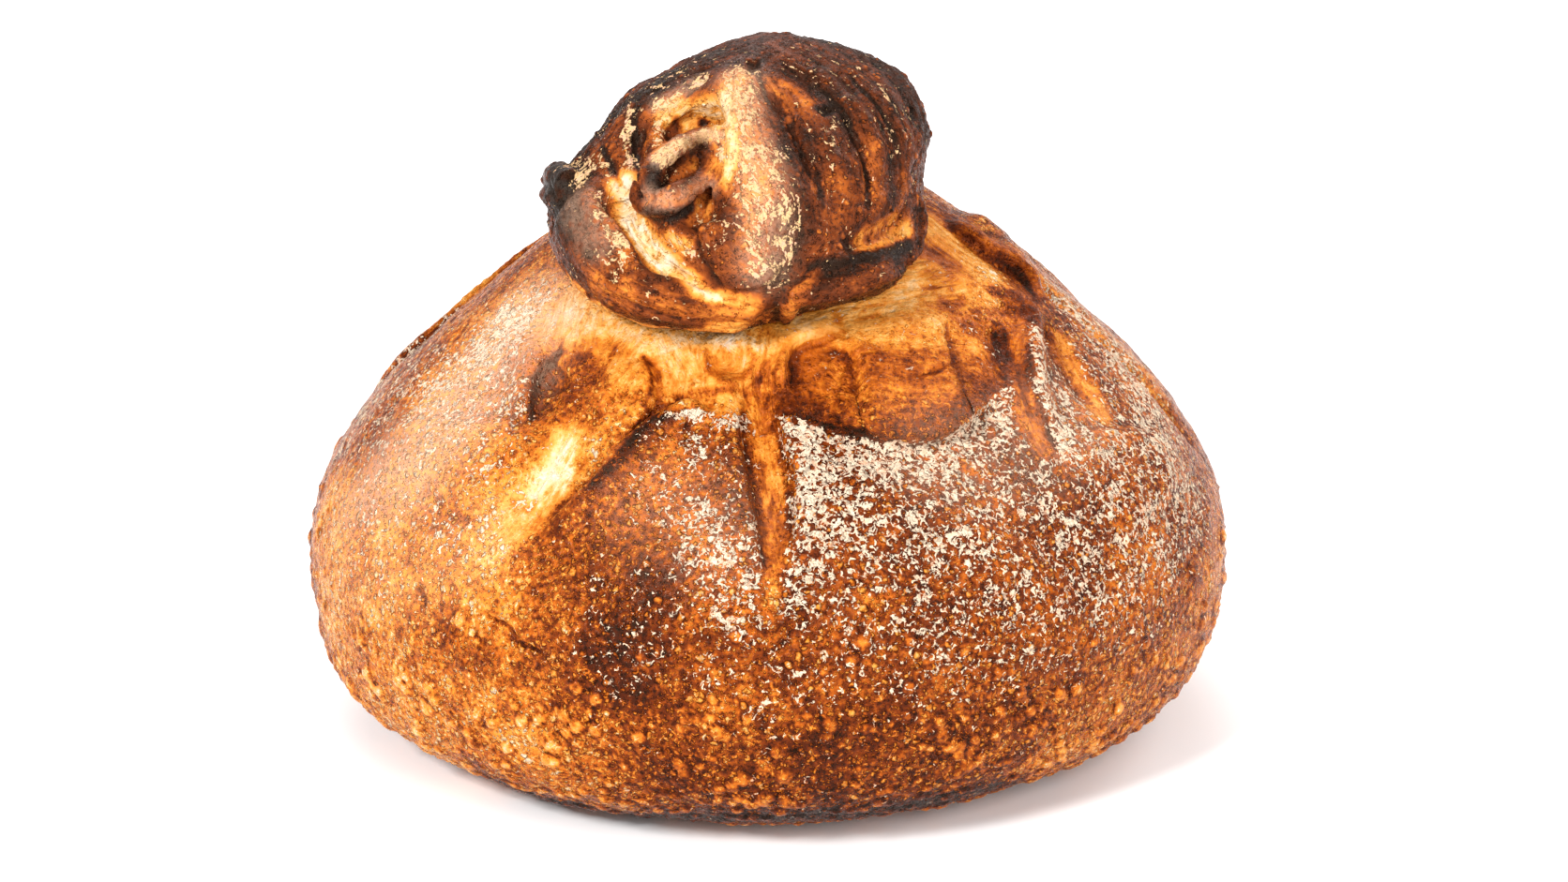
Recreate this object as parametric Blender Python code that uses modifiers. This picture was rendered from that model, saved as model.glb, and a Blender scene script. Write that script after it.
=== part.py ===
"""Country loaf with a topknot: a broad round loaf, and a twisted bun of the same dough baked onto its crown.

The body is a turned profile, pulled a little out of round and pressed with folds. The topknot is a slumped
bun with deep folds, a curl, a burnt knob and a torn lip. All of it is one solid, as baked. Lengths are in
metres, +Z is up, and the origin is the middle of the flat base. The shown face looks towards -Y.
"""

import math

import bmesh
import bpy
import numpy as np
from mathutils import Vector
from mathutils.bvhtree import BVHTree

MM = 0.001

# Driving sizes
LOAF_WIDTH = 260 * MM
LOAF_DEPTH = 250 * MM
DOME_HEIGHT = 163 * MM
KNOT_THICK_FRONT = 41 * MM
KNOT_THICK_BACK = 50 * MM
KNOT_BACK_SET = -56 * MM
KNOT_SLUMP = (0.45, -4.0)

# The place from which folds on the shown face are laid out. A mark on the face is (across, up) in
# millimetres, in the plane through FACE_POINT that faces the eye.
FACE_POINT = Vector((0.0042, 0.0, 0.0767))
EYE_ELEVATION = math.radians(20)
EYE_DISTANCE = 1.10
KNOT_MIDDLE = (-12.0, 73.5)

# Mesh density
BODY_CUTS = 95
KNOT_CUTS = 69
FUSE_VOXEL = 1.5 * MM
SOLID_TRIANGLES = 11200
PATH_STEPS = 7

# The body's side from the base's middle to the crown, as (radius, height) in millimetres on a body of this
# half width and height
BODY_PROFILE_SIZE = (130, 163)
BODY_PROFILE = [
    (0, 0), (40, 0), (74, 0), (90, 1), (104, 5), (116, 12), (124, 20), (128, 30), (130, 42), (130, 56),
    (126, 70), (118, 84), (107, 98), (92, 112), (78, 124), (64, 136), (48, 147), (28, 156), (0, 163),
]


def eye_axes():
    """The eye, and the directions to its right, up and forward."""
    forward = Vector((0, math.cos(EYE_ELEVATION), -math.sin(EYE_ELEVATION)))
    right = Vector((1, 0, 0))
    up = right.cross(forward)
    return FACE_POINT - EYE_DISTANCE * forward, right, up, forward


def smooth_path(points, steps=PATH_STEPS):
    """A Catmull-Rom curve through the points, as an array."""
    p = np.array(points, float)
    p = np.vstack([2 * p[0] - p[1], p, 2 * p[-1] - p[-2]])
    t = np.linspace(0, 1, steps, endpoint=False)[:, None]
    spans = [
        0.5 * (2 * b + (c - a) * t + (2 * a - 5 * b + 4 * c - d) * t**2 + (3 * b - a - 3 * c + d) * t**3)
        for a, b, c, d in zip(p, p[1:], p[2:], p[3:])
    ]
    return np.vstack([*spans, p[-2:-1]])


def on_face(tree, mark):
    """Where the sight line through a mark on the shown face meets the surface, or passes nearest to it."""
    eye, right, up, _ = eye_axes()
    way = (FACE_POINT + right * (mark[0] * MM) + up * (mark[1] * MM) - eye).normalized()
    hit = tree.ray_cast(eye, way)[0]
    if hit is not None:
        return hit
    nearest = [tree.find_nearest(eye + way * (EYE_DISTANCE + step * 10 * MM)) for step in range(-12, 8)]
    return min(nearest, key=lambda found: found[3])[0]


def around(tree, mark):
    """Where the line in to the axis at (azimuth in degrees, height in millimetres) meets the surface."""
    azimuth, height = math.radians(mark[0]), mark[1] * MM
    out = Vector((math.cos(azimuth), math.sin(azimuth), 0))
    start = Vector((0, 0, height)) + out * LOAF_WIDTH
    hit = tree.ray_cast(start, -out)[0]
    return hit if hit is not None else tree.find_nearest(start)[0]


def nearest_on(path, points):
    """Distance to a path, share of its length there, offset from it, and its direction there."""
    if len(path) == 1:
        offset = points - path[0]
        return np.linalg.norm(offset, axis=1), np.zeros(len(points)), offset, np.zeros_like(offset)
    lengths = np.linalg.norm(np.diff(path, axis=0), axis=1)
    starts = np.concatenate([[0], np.cumsum(lengths)])
    best = np.full(len(points), np.inf)
    along = np.zeros(len(points))
    offset = np.zeros_like(points)
    tangent = np.zeros_like(points)
    for i, length in enumerate(lengths):
        if length < 1e-9:
            continue
        way = (path[i + 1] - path[i]) / length
        t = np.clip((points - path[i]) @ way, 0, length)
        gap = points - path[i] - t[:, None] * way
        away = np.linalg.norm(gap, axis=1)
        better = away < best
        best[better] = away[better]
        along[better] = (starts[i] + t[better]) / starts[-1]
        offset[better] = gap[better]
        tangent[better] = way
    return best, along, offset, tangent


class Stroke:
    """A press along a path. A fold stands proud on the left of its path and drops away on the right."""

    def __init__(self, marks, width, height, kind="ridge", place=on_face, taper=0.25, over=0.0):
        self.marks = marks
        self.width = width * MM
        self.height = height * MM
        self.kind = kind
        self.place = place
        self.taper = taper
        self.over = over * MM

    def laid(self, tree):
        path = smooth_path(self.marks) if len(self.marks) > 1 else self.marks
        return np.array([self.place(tree, mark) for mark in path])

    def apply(self, points, normals, path, moved):
        reach = 3.2 * self.width
        near = np.flatnonzero(((points > path.min(0) - reach) & (points < path.max(0) + reach)).all(1))
        if not len(near):
            return
        p, n = points[near], normals[near]
        away, along, offset, tangent = nearest_on(path, p)
        ends = np.ones(len(p))
        if len(path) > 1 and self.taper > 0:
            ends = np.clip(np.minimum(along, 1 - along) / self.taper, 0, 1)
            ends = ends * ends * (3 - 2 * ends)
        fall = np.exp(-((away / self.width) ** 2)) * ends
        if self.kind == "ridge":
            moved[near] += n * (self.height * fall)[:, None]
            return
        left = np.cross(n, tangent)
        high = 0.5 + 0.5 * np.tanh((left * offset).sum(1) / (1.0 * MM))
        moved[near] += n * (self.height * fall * (1.5 * high - 0.5))[:, None]
        lap = np.exp(-((away / (0.35 * self.width)) ** 2)) * ends * high
        moved[near] -= left * (self.over * lap)[:, None]


def ball(name, cuts):
    """A ball of nearly even quads, from a cube with its sides cut up and puffed out to radius 1."""
    bm = bmesh.new()
    bmesh.ops.create_cube(bm, size=2)
    bmesh.ops.subdivide_edges(bm, edges=bm.edges[:], cuts=cuts, use_grid_fill=True)
    for vertex in bm.verts:
        vertex.co = Vector(math.tan(side * math.pi / 4) for side in vertex.co).normalized()
    mesh = bpy.data.meshes.new(name)
    bm.to_mesh(mesh)
    bm.free()
    made = bpy.data.objects.new(name, mesh)
    bpy.context.scene.collection.objects.link(made)
    return made


class Clay:
    """The skin of a mesh of quads, to be pressed along paths."""

    def __init__(self, obj):
        self.mesh = obj.data
        self.points = np.empty(len(self.mesh.vertices) * 3, np.float32)
        self.mesh.vertices.foreach_get("co", self.points)
        self.points = self.points.reshape(-1, 3).astype(float)
        self.faces = np.array([face.vertices[:] for face in self.mesh.polygons])

    def normals(self):
        a, b, c, d = (self.points[self.faces[:, i]] for i in range(4))
        facing = np.cross(c - a, d - b)
        total = np.zeros_like(self.points)
        for i in range(4):
            np.add.at(total, self.faces[:, i], facing)
        return total / np.maximum(np.linalg.norm(total, axis=1, keepdims=True), 1e-12)

    def tree(self):
        return BVHTree.FromPolygons(self.points.tolist(), self.faces.tolist())

    def press(self, strokes):
        """Moves the skin by every stroke, each laid out on the skin as it is before the first."""
        tree = self.tree()
        normals = self.normals()
        moved = self.points.copy()
        for stroke in strokes:
            stroke.apply(self.points, normals, stroke.laid(tree), moved)
        self.points = moved

    def set_points(self):
        """Puts the pressed skin into the mesh."""
        self.mesh.vertices.foreach_set("co", self.points.astype(np.float32).ravel())
        self.mesh.update()


def waves(azimuth, *terms):
    """1 plus a few cosine waves round the axis. Each term is (waves in a turn, size, azimuth of a crest)."""
    return 1 + sum(size * np.cos(count * (azimuth - math.radians(crest))) for count, size, crest in terms)


def turned_body(directions):
    """The body before its folds: the profile turned, and pulled a little out of round."""
    profile = smooth_path(BODY_PROFILE, 24) / BODY_PROFILE_SIZE * (LOAF_WIDTH / 2, DOME_HEIGHT)
    steps = np.linalg.norm(np.diff(profile, axis=0), axis=1)
    share = np.concatenate([[0], np.cumsum(steps)]) / steps.sum()
    azimuth = np.arctan2(directions[:, 1], directions[:, 0])
    rise = 1 - np.arccos(np.clip(directions[:, 2], -1, 1)) / math.pi
    radius = np.interp(rise, share, profile[:, 0])
    height = np.interp(rise, share, profile[:, 1])
    low = np.clip(1 - height / (0.45 * DOME_HEIGHT), 0, 1)
    radius = radius * waves(azimuth, (3, 0.007, 90), (5, 0.005, 54))
    radius = radius * (1 + 0.03 * low**2 * np.cos(azimuth - math.radians(-125)))
    x = radius * np.cos(azimuth)
    y = radius * np.sin(azimuth) * LOAF_DEPTH / LOAF_WIDTH
    return np.stack([x, y, height], axis=1)


def seen_at(marks, depth):
    """Points in space from marks on the face in millimetres and how far each lies beyond the face's plane."""
    _, right, up, forward = eye_axes()
    spread = (1 + depth / EYE_DISTANCE)[:, None] * marks * MM
    plane = np.array(FACE_POINT) + spread[:, :1] * np.array(right) + spread[:, 1:] * np.array(up)
    return plane + depth[:, None] * np.array(forward)


def slumped_knot(directions):
    """The topknot before its folds: a bun with the outline it shows, sagging forward below and back above."""
    _, right, up, forward = (np.array(axis) for axis in eye_axes())
    across, rise, near = directions @ right, directions @ up, -(directions @ forward)
    turn = np.arctan2(rise, across)
    outline = smooth_path(KNOT_OUTLINE + KNOT_OUTLINE[:1], 5)[:-1] - KNOT_MIDDLE
    angles = np.arctan2(outline[:, 1], outline[:, 0])
    order = np.argsort(angles)
    reach = np.interp(turn, angles[order], np.hypot(*outline.T)[order], period=2 * math.pi)
    marks = (reach * np.hypot(across, rise))[:, None] * np.stack([np.cos(turn), np.sin(turn)], axis=1)
    lift = marks[:, 1] * MM
    thick = np.where(near > 0, KNOT_THICK_FRONT, KNOT_THICK_BACK)
    depth = KNOT_BACK_SET + KNOT_SLUMP[0] * lift + KNOT_SLUMP[1] * lift**2 - thick * near
    return seen_at(marks + KNOT_MIDDLE, depth)


def body(cuts):
    """The loaf's body, pressed with its folds."""
    made = ball("body", cuts)
    clay = Clay(made)
    clay.points = turned_body(clay.points)
    clay.press(BODY_FORMS)
    clay.press(BODY_FOLDS)
    clay.points[:, 2] = np.maximum(clay.points[:, 2], 0)
    clay.set_points()
    return made


def knot(cuts):
    """The topknot's bun, pressed with its folds, and the ropes of dough on it."""
    made = ball("knot", cuts)
    clay = Clay(made)
    clay.points = slumped_knot(clay.points)
    clay.press(KNOT_FORMS)
    clay.press(KNOT_FOLDS)
    clay.set_points()
    tree = clay.tree()
    return [made, *(rope(*settings, tree) for settings in ROPES)]


def rope(name, marks, radii, lift, tree):
    """A tube of dough laid on the shown face, at a height over it in millimetres."""
    forward = eye_axes()[3]
    path = smooth_path(marks)
    curve = bpy.data.curves.new(name, "CURVE")
    curve.dimensions = "3D"
    curve.bevel_depth = MM
    curve.bevel_resolution = 3
    curve.use_fill_caps = True
    spline = curve.splines.new("POLY")
    spline.points.add(len(path) - 1)
    for point, mark, share in zip(spline.points, path, np.linspace(0, 1, len(path))):
        point.co = (*(on_face(tree, mark) - forward * (lift * MM)), 1)
        point.radius = float(np.interp(share, np.linspace(0, 1, len(radii)), radii))
    made = bpy.data.objects.new(name, curve)
    bpy.context.scene.collection.objects.link(made)
    return as_mesh(made)


def as_mesh(obj):
    """A mesh copy of a curve object, welded shut. The curve is removed."""
    graph = bpy.context.evaluated_depsgraph_get()
    mesh = bpy.data.meshes.new_from_object(obj.evaluated_get(graph))
    bm = bmesh.new()
    bm.from_mesh(mesh)
    bmesh.ops.remove_doubles(bm, verts=bm.verts[:], dist=0.01 * MM)
    bm.to_mesh(mesh)
    bm.free()
    made = bpy.data.objects.new(obj.name + "_solid", mesh)
    bpy.context.scene.collection.objects.link(made)
    bpy.data.objects.remove(obj)
    return made


def joined(objects, name):
    """One object that holds the meshes of several, as they stand."""
    bm = bmesh.new()
    for obj in objects:
        bm.from_mesh(obj.data)
    mesh = bpy.data.meshes.new(name)
    bm.to_mesh(mesh)
    bm.free()
    for obj in objects:
        bpy.data.objects.remove(obj)
    return bpy.data.objects.new(name, mesh)


def islands(bm):
    """The connected sets of vertices."""
    left, found = set(bm.verts), []
    while left:
        start = left.pop()
        island, edge = {start}, [start]
        while edge:
            vertex = edge.pop()
            for link in vertex.link_edges:
                other = link.other_vert(vertex)
                if other not in island:
                    island.add(other)
                    edge.append(other)
        left -= island
        found.append(island)
    return found


# The body's broad forms. Marks are millimetres across and up on the shown face.
BODY_FORMS = [
    Stroke([(19, 19), (33, 20), (49, 19)], 15, 4.5, taper=0.1),
    Stroke([(-82, 8), (-96, -20)], 26, 2.5),
    Stroke([(60, -20), (40, -60)], 34, 2.0),
    Stroke([(-36, -24), (-30, -59)], 26, 2.5),
    Stroke([(96, 6), (110, -20)], 24, 2.5),
    Stroke([(49, 66), (61, 57), (69, 48)], 9, 3.2, taper=0.3),
]
BODY_FOLDS = [
    # the torn valley down the middle, and its two edges
    Stroke([(-7, 29), (-8, 16), (-6, 6), (-5, -5), (-4, -16), (-3, -28), (-4, -41)], 5.2, -3.4),
    Stroke([(-6, -41), (-7, -33), (-9, -20), (-11, -10), (-13, 0), (-13, 9), (-10, 15)],
           6.0, 2.4, "fold", over=0.8),
    Stroke([(-4, 17), (-2, 9), (0, 1), (2, -7), (3, -16), (2, -27), (-3, -37)], 6.0, 2.0, "fold", over=0.6),
    # the pillow that bulges over the floured panel
    Stroke([(3, 9), (12, 6), (23, 3), (32, 0), (44, 1), (53, 6), (62, 14)], 9.0, 3.8, "fold", over=1.4),
    Stroke([(2, 12), (1, 19), (2, 26), (9, 30), (19, 32)], 6.0, 2.4, "fold", over=0.6),
    Stroke([(61, 34), (62, 30), (64, 23), (64, 15)], 3.6, -2.6),
    # the flap, the rope and the valleys to the right of the pillow
    Stroke([(44, 64), (50, 60), (58, 54), (66, 50), (70, 46), (73, 40)], 7.0, 3.6, "fold", over=1.2),
    Stroke([(57, 44), (65, 41), (71, 34), (71, 24), (72, 15), (75, 6), (77, -2)], 4.4, 3.4),
    Stroke([(76, 34), (78, 28), (82, 21), (86, 15), (90, 8)], 4.4, -3.2),
    Stroke([(74, 46), (76, 43), (77, 39)], 5.0, -3.0),
    # the torn hollow and the leaf of dough on the left
    Stroke([(-57, 2), (-64, -7), (-71, -16), (-79, -24)], 8.5, -3.4),
    Stroke([(-49, -4), (-42, 5), (-38, 12), (-38, 19), (-40, 25)], 7.0, 2.4, "fold", over=0.8),
    Stroke([(-53, 6), (-51, 14), (-47, 19), (-41, 25)], 4.0, 1.6),
    Stroke([(-73, 5), (-72, 11), (-72, 17), (-69, 22), (-65, 24)], 7.0, 3.6, "fold", over=1.6),
    Stroke([(-67, 13), (-66, 18), (-62, 22)], 5.0, -3.0),
    Stroke([(-79, 33), (-75, 27), (-70, 25), (-64, 26)], 3.0, 1.5),
    # the brown panel's upper edge, and the small folds above it
    Stroke(
        [(-13, 11), (-20, 8), (-27, 11), (-34, 8), (-41, 4), (-47, -3), (-54, -11), (-63, -19), (-74, -27)],
        9.0, 3.2, "fold", over=1.4,
    ),
    Stroke([(-30, 12), (-25, 15), (-18, 15), (-12, 15)], 2.8, 1.6),
    Stroke([(-17, 29), (-11, 28), (-9, 23), (-11, 18), (-17, 17), (-21, 19), (-23, 25), (-19, 29)],
           1.9, 1.6, taper=0),
    Stroke([(-17, 23)], 4.2, -2.0),
    # creases from under the topknot down the sides and the back: (azimuth in degrees, height in millimetres)
    Stroke([(2, 142), (-4, 122), (-7, 98), (-5, 72)], 6.0, -3.4, place=around),
    Stroke([(-5, 76), (-8, 100), (-5, 124), (0, 140)], 7.0, 2.4, "fold", place=around, over=1.0),
    Stroke([(52, 146), (47, 126), (50, 104), (46, 84)], 7.0, -4.0, place=around),
    Stroke([(58, 144), (55, 124), (57, 102), (52, 84)], 8.0, 3.2, "fold", place=around, over=1.2),
    Stroke([(98, 148), (102, 130), (97, 108), (101, 82), (98, 60)], 6.0, -3.6, place=around),
    Stroke([(106, 144), (110, 122), (107, 98), (108, 70)], 8.0, 3.0, "fold", place=around, over=1.2),
    Stroke([(128, 140), (138, 124), (150, 112)], 12.0, 3.4, place=around),
    Stroke([(160, 96), (148, 98), (134, 104), (122, 112)], 8.0, 3.2, "fold", place=around, over=1.2),
    Stroke([(172, 144), (168, 126), (172, 104), (167, 80)], 6.0, -3.4, place=around),
    Stroke([(176, 80), (180, 104), (175, 126), (178, 142)], 8.0, 2.8, "fold", place=around, over=1.2),
    Stroke([(20, 138), (26, 122), (22, 104)], 9.0, 2.6, place=around),
]

# The topknot's outline as it is seen, in the same marks, anticlockwise from its right end
KNOT_OUTLINE = [
    (42, 89), (37, 102), (26, 110), (11, 115), (-5, 117), (-20, 113), (-34, 106), (-45, 100), (-53, 89),
    (-62, 79),
    (-67, 70), (-67, 58), (-61, 46), (-48, 36), (-32, 32), (-12, 32), (4, 36), (24, 41), (34, 47), (39, 59),
    (40, 75),
]

# The topknot's broad lobes, then its folds
KNOT_FORMS = [
    # the main ridge that comes down towards the viewer, and the lobes to its right
    Stroke([(-12, 109), (-14, 100), (-12, 89), (-6, 78), (1, 69), (1, 58)], 8.0, 4.5),
    Stroke([(19, 106), (27, 93), (28, 78), (21, 62)], 12.0, 1.6),
    # the outer fold on the upper left, and the thick band that runs round under everything
    Stroke([(-12, 110), (-28, 105), (-39, 98), (-49, 86), (-53, 77)], 7.0, 2.2),
    Stroke([(-63, 69), (-60, 58), (-52, 48), (-39, 40), (-23, 36), (-7, 34)], 7.5, 3.0, taper=0.1),
    # the hollow behind the curl, and the pale trough inside the band
    Stroke([(-29, 96), (-25, 89), (-23, 79), (-24, 69), (-26, 59)], 6.5, -6.5, taper=0.15),
    Stroke([(-47, 75), (-45, 67), (-41, 59), (-33, 51), (-20, 44), (-8, 39)], 7.0, -6.5, taper=0.15),
]
KNOT_FOLDS = [
    Stroke([(-31, 92), (-26, 91), (-22, 90)], 5.0, -6.0, taper=0),
    Stroke([(-33, 59), (-29, 53), (-23, 48), (-14, 44), (-5, 42), (5, 45), (10, 51)], 4.6, 3.4),
    Stroke([(-24, 63), (-22, 55), (-15, 47), (-8, 45), (-3, 48), (2, 54)], 7.0, 3.2, "fold", over=1.6),
    Stroke([(-14, 100), (-15, 93), (-16, 83), (-18, 74), (-23, 64)], 5.0, 2.8, "fold", over=1.0),
    # the crease inside the outer fold, and the band's upper edge
    Stroke([(-42, 94), (-43, 83), (-43, 74), (-45, 68)], 3.2, -3.0),
    Stroke([(-51, 83), (-49, 76), (-46, 70), (-44, 63)], 3.0, -2.4),
    Stroke([(-18, 41), (-30, 45), (-39, 48), (-46, 58), (-53, 67), (-57, 74)], 6.0, 3.0, "fold", over=1.2),
    # long creases that run over the right side like slices of an orange
    Stroke([(-9, 105), (-3, 98), (2, 89), (6, 81), (9, 74), (10, 67)], 3.0, -2.6),
    Stroke([(-6, 110), (5, 105), (13, 99), (19, 89), (23, 80), (24, 72), (20, 63)], 3.0, -2.6),
    Stroke([(11, 105), (20, 102), (29, 92), (32, 83), (31, 74), (30, 67)], 3.0, -2.2),
    Stroke([(24, 111), (32, 104), (37, 95), (39, 87)], 2.8, -1.8),
    # the pale pocket under the right side, and the flap below it with a dark rim
    Stroke([(21, 56), (28, 58), (35, 60)], 4.6, -4.2, taper=0),
    Stroke([(4, 44), (13, 46), (24, 50), (33, 54), (38, 58)], 7.0, -1.0),
    Stroke([(9, 50), (16, 51), (24, 53), (31, 54), (36, 56)], 3.0, 2.4),
    Stroke([(2, 41), (13, 44), (24, 47), (32, 50)], 5.0, 2.6),
    # folds over the crown and the back: (azimuth in degrees, height in millimetres)
    Stroke([(30, 190), (36, 176), (38, 160)], 5.0, -3.0, place=around),
    Stroke([(62, 192), (66, 178), (62, 162)], 5.0, 3.4, "fold", place=around, over=1.0),
    Stroke([(92, 192), (88, 176), (94, 160)], 4.5, -3.0, place=around),
    Stroke([(124, 190), (120, 176), (128, 160)], 5.0, 3.2, "fold", place=around, over=1.0),
    Stroke([(158, 184), (150, 170), (154, 158)], 4.5, -2.8, place=around),
]

# Ropes of dough on the topknot: name, marks, radii from first mark to last, height over the bun (millimetres)
ROPES = [
    ("curl_upper", [(-18, 88), (-26, 86), (-33, 82), (-37, 78), (-38, 73), (-36, 72)],
     (2.4, 2.8, 3.4, 4.0, 2.8), 4.0),
    ("curl_inner", [(-19, 88), (-19, 82), (-23, 75), (-28, 72), (-35, 70), (-40, 73)],
     (2.6, 3.0, 3.2, 2.6, 2.0), 3.6),
    ("curl_outer", [(-27, 70), (-33, 67), (-39, 67), (-42, 70), (-41, 74)], (2.0, 2.6, 2.8, 2.6, 2.0), 2.4),
    ("knob", [(-61, 73), (-64, 75), (-65, 77)], (4.6, 4.8, 3.4), 1.0),
    ("knob_tip", [(-63, 70), (-67, 70), (-69, 70)], (3.6, 3.4, 2.4), 0.0),
    ("ear", [(38, 71), (39, 66), (39, 61), (38, 55), (36, 51)], (1.4, 1.9, 2.1, 1.9, 1.4), 0.0),
    ("lip", [(1, 41), (13, 43), (24, 46), (33, 50)], (2.6, 3.8, 3.8, 2.4), 0.5),
    ("drip", [(2, 40), (1, 37), (0, 34)], (3.0, 2.8, 1.6), 0.5),
]


def set_down(mesh):
    """Sets the loaf down on a flat base at height 0, centred, and leaves only its largest skin."""
    bm = bmesh.new()
    bm.from_mesh(mesh)
    largest = max(islands(bm), key=len)
    bmesh.ops.delete(bm, geom=[v for v in bm.verts if v not in largest], context="VERTS")
    points = np.array([v.co for v in bm.verts])
    middle = (points.min(0) + points.max(0)) / 2
    middle[2] = points[:, 2].min() + 0.4 * MM
    for vertex, place in zip(bm.verts, points - middle):
        vertex.co = (place[0], place[1], max(place[2], 0))
    bm.to_mesh(mesh)
    bm.free()
    mesh.update()


def fuse(loaf):
    """Bakes the overlapping doughs into one skin, softens the seams, and thins the mesh where it is plain."""
    remesh = loaf.modifiers.new("fuse", "REMESH")
    remesh.mode = "VOXEL"
    remesh.voxel_size = FUSE_VOXEL
    soften = loaf.modifiers.new("soften", "SMOOTH")
    soften.factor = 0.5
    soften.iterations = 2
    graph = bpy.context.evaluated_depsgraph_get()
    dense = bpy.data.meshes.new_from_object(loaf.evaluated_get(graph))
    loaf.modifiers.clear()
    loaf.data = dense
    set_down(dense)
    thin = loaf.modifiers.new("thin", "DECIMATE")
    thin.use_collapse_triangulate = True
    thin.ratio = SOLID_TRIANGLES / (2 * len(dense.polygons))


def crust_material():
    material = bpy.data.materials.new("crust")
    material.use_nodes = True
    shader = material.node_tree.nodes["Principled BSDF"]
    shader.inputs["Base Color"].default_value = (0.52, 0.21, 0.05, 1)
    shader.inputs["Roughness"].default_value = 0.55
    shader.inputs["Metallic"].default_value = 0
    return material


def main():
    for obj in list(bpy.data.objects):
        bpy.data.objects.remove(obj)
    loaf = joined([body(BODY_CUTS), *knot(KNOT_CUTS)], "loaf")
    collection = bpy.data.collections.new("country_loaf")
    bpy.context.scene.collection.children.link(collection)
    collection.objects.link(loaf)
    bpy.context.view_layer.update()
    fuse(loaf)
    loaf.data.materials.clear()
    loaf.data.materials.append(crust_material())
    loaf.data.shade_smooth()
    return loaf


main()
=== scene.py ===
"""Looks of the country loaf: the crust of the body and of the topknot as finely modelled skins with
baked-dough materials, on a pale floor in soft studio light.

Both skins are made from the same profile, outline and folds as the solid, then pressed with finer folds,
wrinkles and blisters, and painted with the bake, flour, char and grain that the material reads, and with
painted shade in some creases, gaps and hollows; the material adds painted highlight on blister tops and
flakes. Lengths are in metres, +Z is up, and the shown face looks towards -Y.
"""

import math

import bmesh
import bpy
import numpy as np
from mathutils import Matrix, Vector, kdtree, noise
from mathutils.bvhtree import BVHTree


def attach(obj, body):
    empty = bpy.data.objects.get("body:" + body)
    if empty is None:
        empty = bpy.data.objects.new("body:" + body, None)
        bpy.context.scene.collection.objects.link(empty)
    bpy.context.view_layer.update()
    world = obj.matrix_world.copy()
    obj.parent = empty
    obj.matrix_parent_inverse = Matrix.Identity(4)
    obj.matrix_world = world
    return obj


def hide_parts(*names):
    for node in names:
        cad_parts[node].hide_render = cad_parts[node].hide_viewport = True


MM = 0.001

# The solid's driving sizes
LOAF_WIDTH = 260 * MM
LOAF_DEPTH = 250 * MM
DOME_HEIGHT = 163 * MM
KNOT_THICK_FRONT = 41 * MM
KNOT_THICK_BACK = 50 * MM
KNOT_BACK_SET = -56 * MM
KNOT_SLUMP = (0.45, -4.0)
SET_DOWN = Vector((0.9, 1.0, -0.4)) * MM

# The eye from which the photograph was taken, and the plane of marks on the shown face
FACE_POINT = Vector((0.0042, 0.0, 0.0767))
EYE_ELEVATION = math.radians(20)
EYE_DISTANCE = 1.10
KNOT_MIDDLE = (-12.0, 73.5)
PHOTO_SIZE = (1672, 941)
PHOTO_PIXELS_PER_MM = 3.727

# Fineness of the two skins and of the paths on them, and where the body's skin is finest
BODY_CUTS = 126
BODY_FOCUS = 0.62
FOCUS_DIRECTION = np.array((0.05, -0.93, 0.36))
KNOT_CUTS = 110
KNOT_VOXEL = 0.70 * MM
PATH_STEPS = 7
PAINT_STEPS = 4
PROFILE_STEPS = 24
OUTLINE_STEPS = 5
WELD = 0.01 * MM

# How far a stroke and a dab of paint reach, in their widths, and the shape of a fold
STROKE_REACH = 3.2
PAINT_REACH = 2.6
FOLD_DROP = 0.5
FOLD_EDGE = 1.0 * MM
FOLD_LAP = 0.35
PAINT_EDGE = 0.5 * MM

BODY_PROFILE_SIZE = (130, 163)
BODY_PROFILE = (
    "0,0 40,0 74,0 90,1 104,5 116,12 124,20 128,30 130,42 130,56 "
    "126,70 118,84 107,98 92,112 78,124 64,136 48,147 28,156 0,163"
)
# How the body departs from round: (waves in a turn, size, azimuth of a crest), and the lean of its foot
BODY_WAVES = [(3, 0.007, 90), (5, 0.005, 54)]
FOOT_HEIGHT = 0.45 * DOME_HEIGHT
FOOT_LEAN, FOOT_LEAN_AZIMUTH = 0.03, math.radians(-125)


def eye_axes():
    """The eye, and the directions to its right, up and forward."""
    forward = Vector((0, math.cos(EYE_ELEVATION), -math.sin(EYE_ELEVATION)))
    right = Vector((1, 0, 0))
    up = right.cross(forward)
    return FACE_POINT - EYE_DISTANCE * forward, right, up, forward


def marks_of(text):
    """The marks written in a text, as x,y with spaces between them."""
    return [tuple(float(number) for number in mark.split(",")) for mark in text.split()]


def smooth_path(points, steps=PATH_STEPS):
    """A Catmull-Rom curve through the points, as an array."""
    p = np.array(points, float)
    p = np.vstack([2 * p[0] - p[1], p, 2 * p[-1] - p[-2]])
    t = np.linspace(0, 1, steps, endpoint=False)[:, None]
    spans = [
        0.5 * (2 * b + (c - a) * t + (2 * a - 5 * b + 4 * c - d) * t**2 + (3 * b - a - 3 * c + d) * t**3)
        for a, b, c, d in zip(p, p[1:], p[2:], p[3:])
    ]
    return np.vstack([*spans, p[-2:-1]])


def on_face(tree, mark):
    """Where the sight line through a mark on the shown face meets the surface, or passes nearest to it."""
    eye, right, up, _ = eye_axes()
    way = (FACE_POINT + right * (mark[0] * MM) + up * (mark[1] * MM) - eye).normalized()
    hit = tree.ray_cast(eye, way)[0]
    if hit is not None:
        return hit
    nearest = [tree.find_nearest(eye + way * (EYE_DISTANCE + step * 10 * MM)) for step in range(-12, 8)]
    return min(nearest, key=lambda found: found[3])[0]


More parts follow.
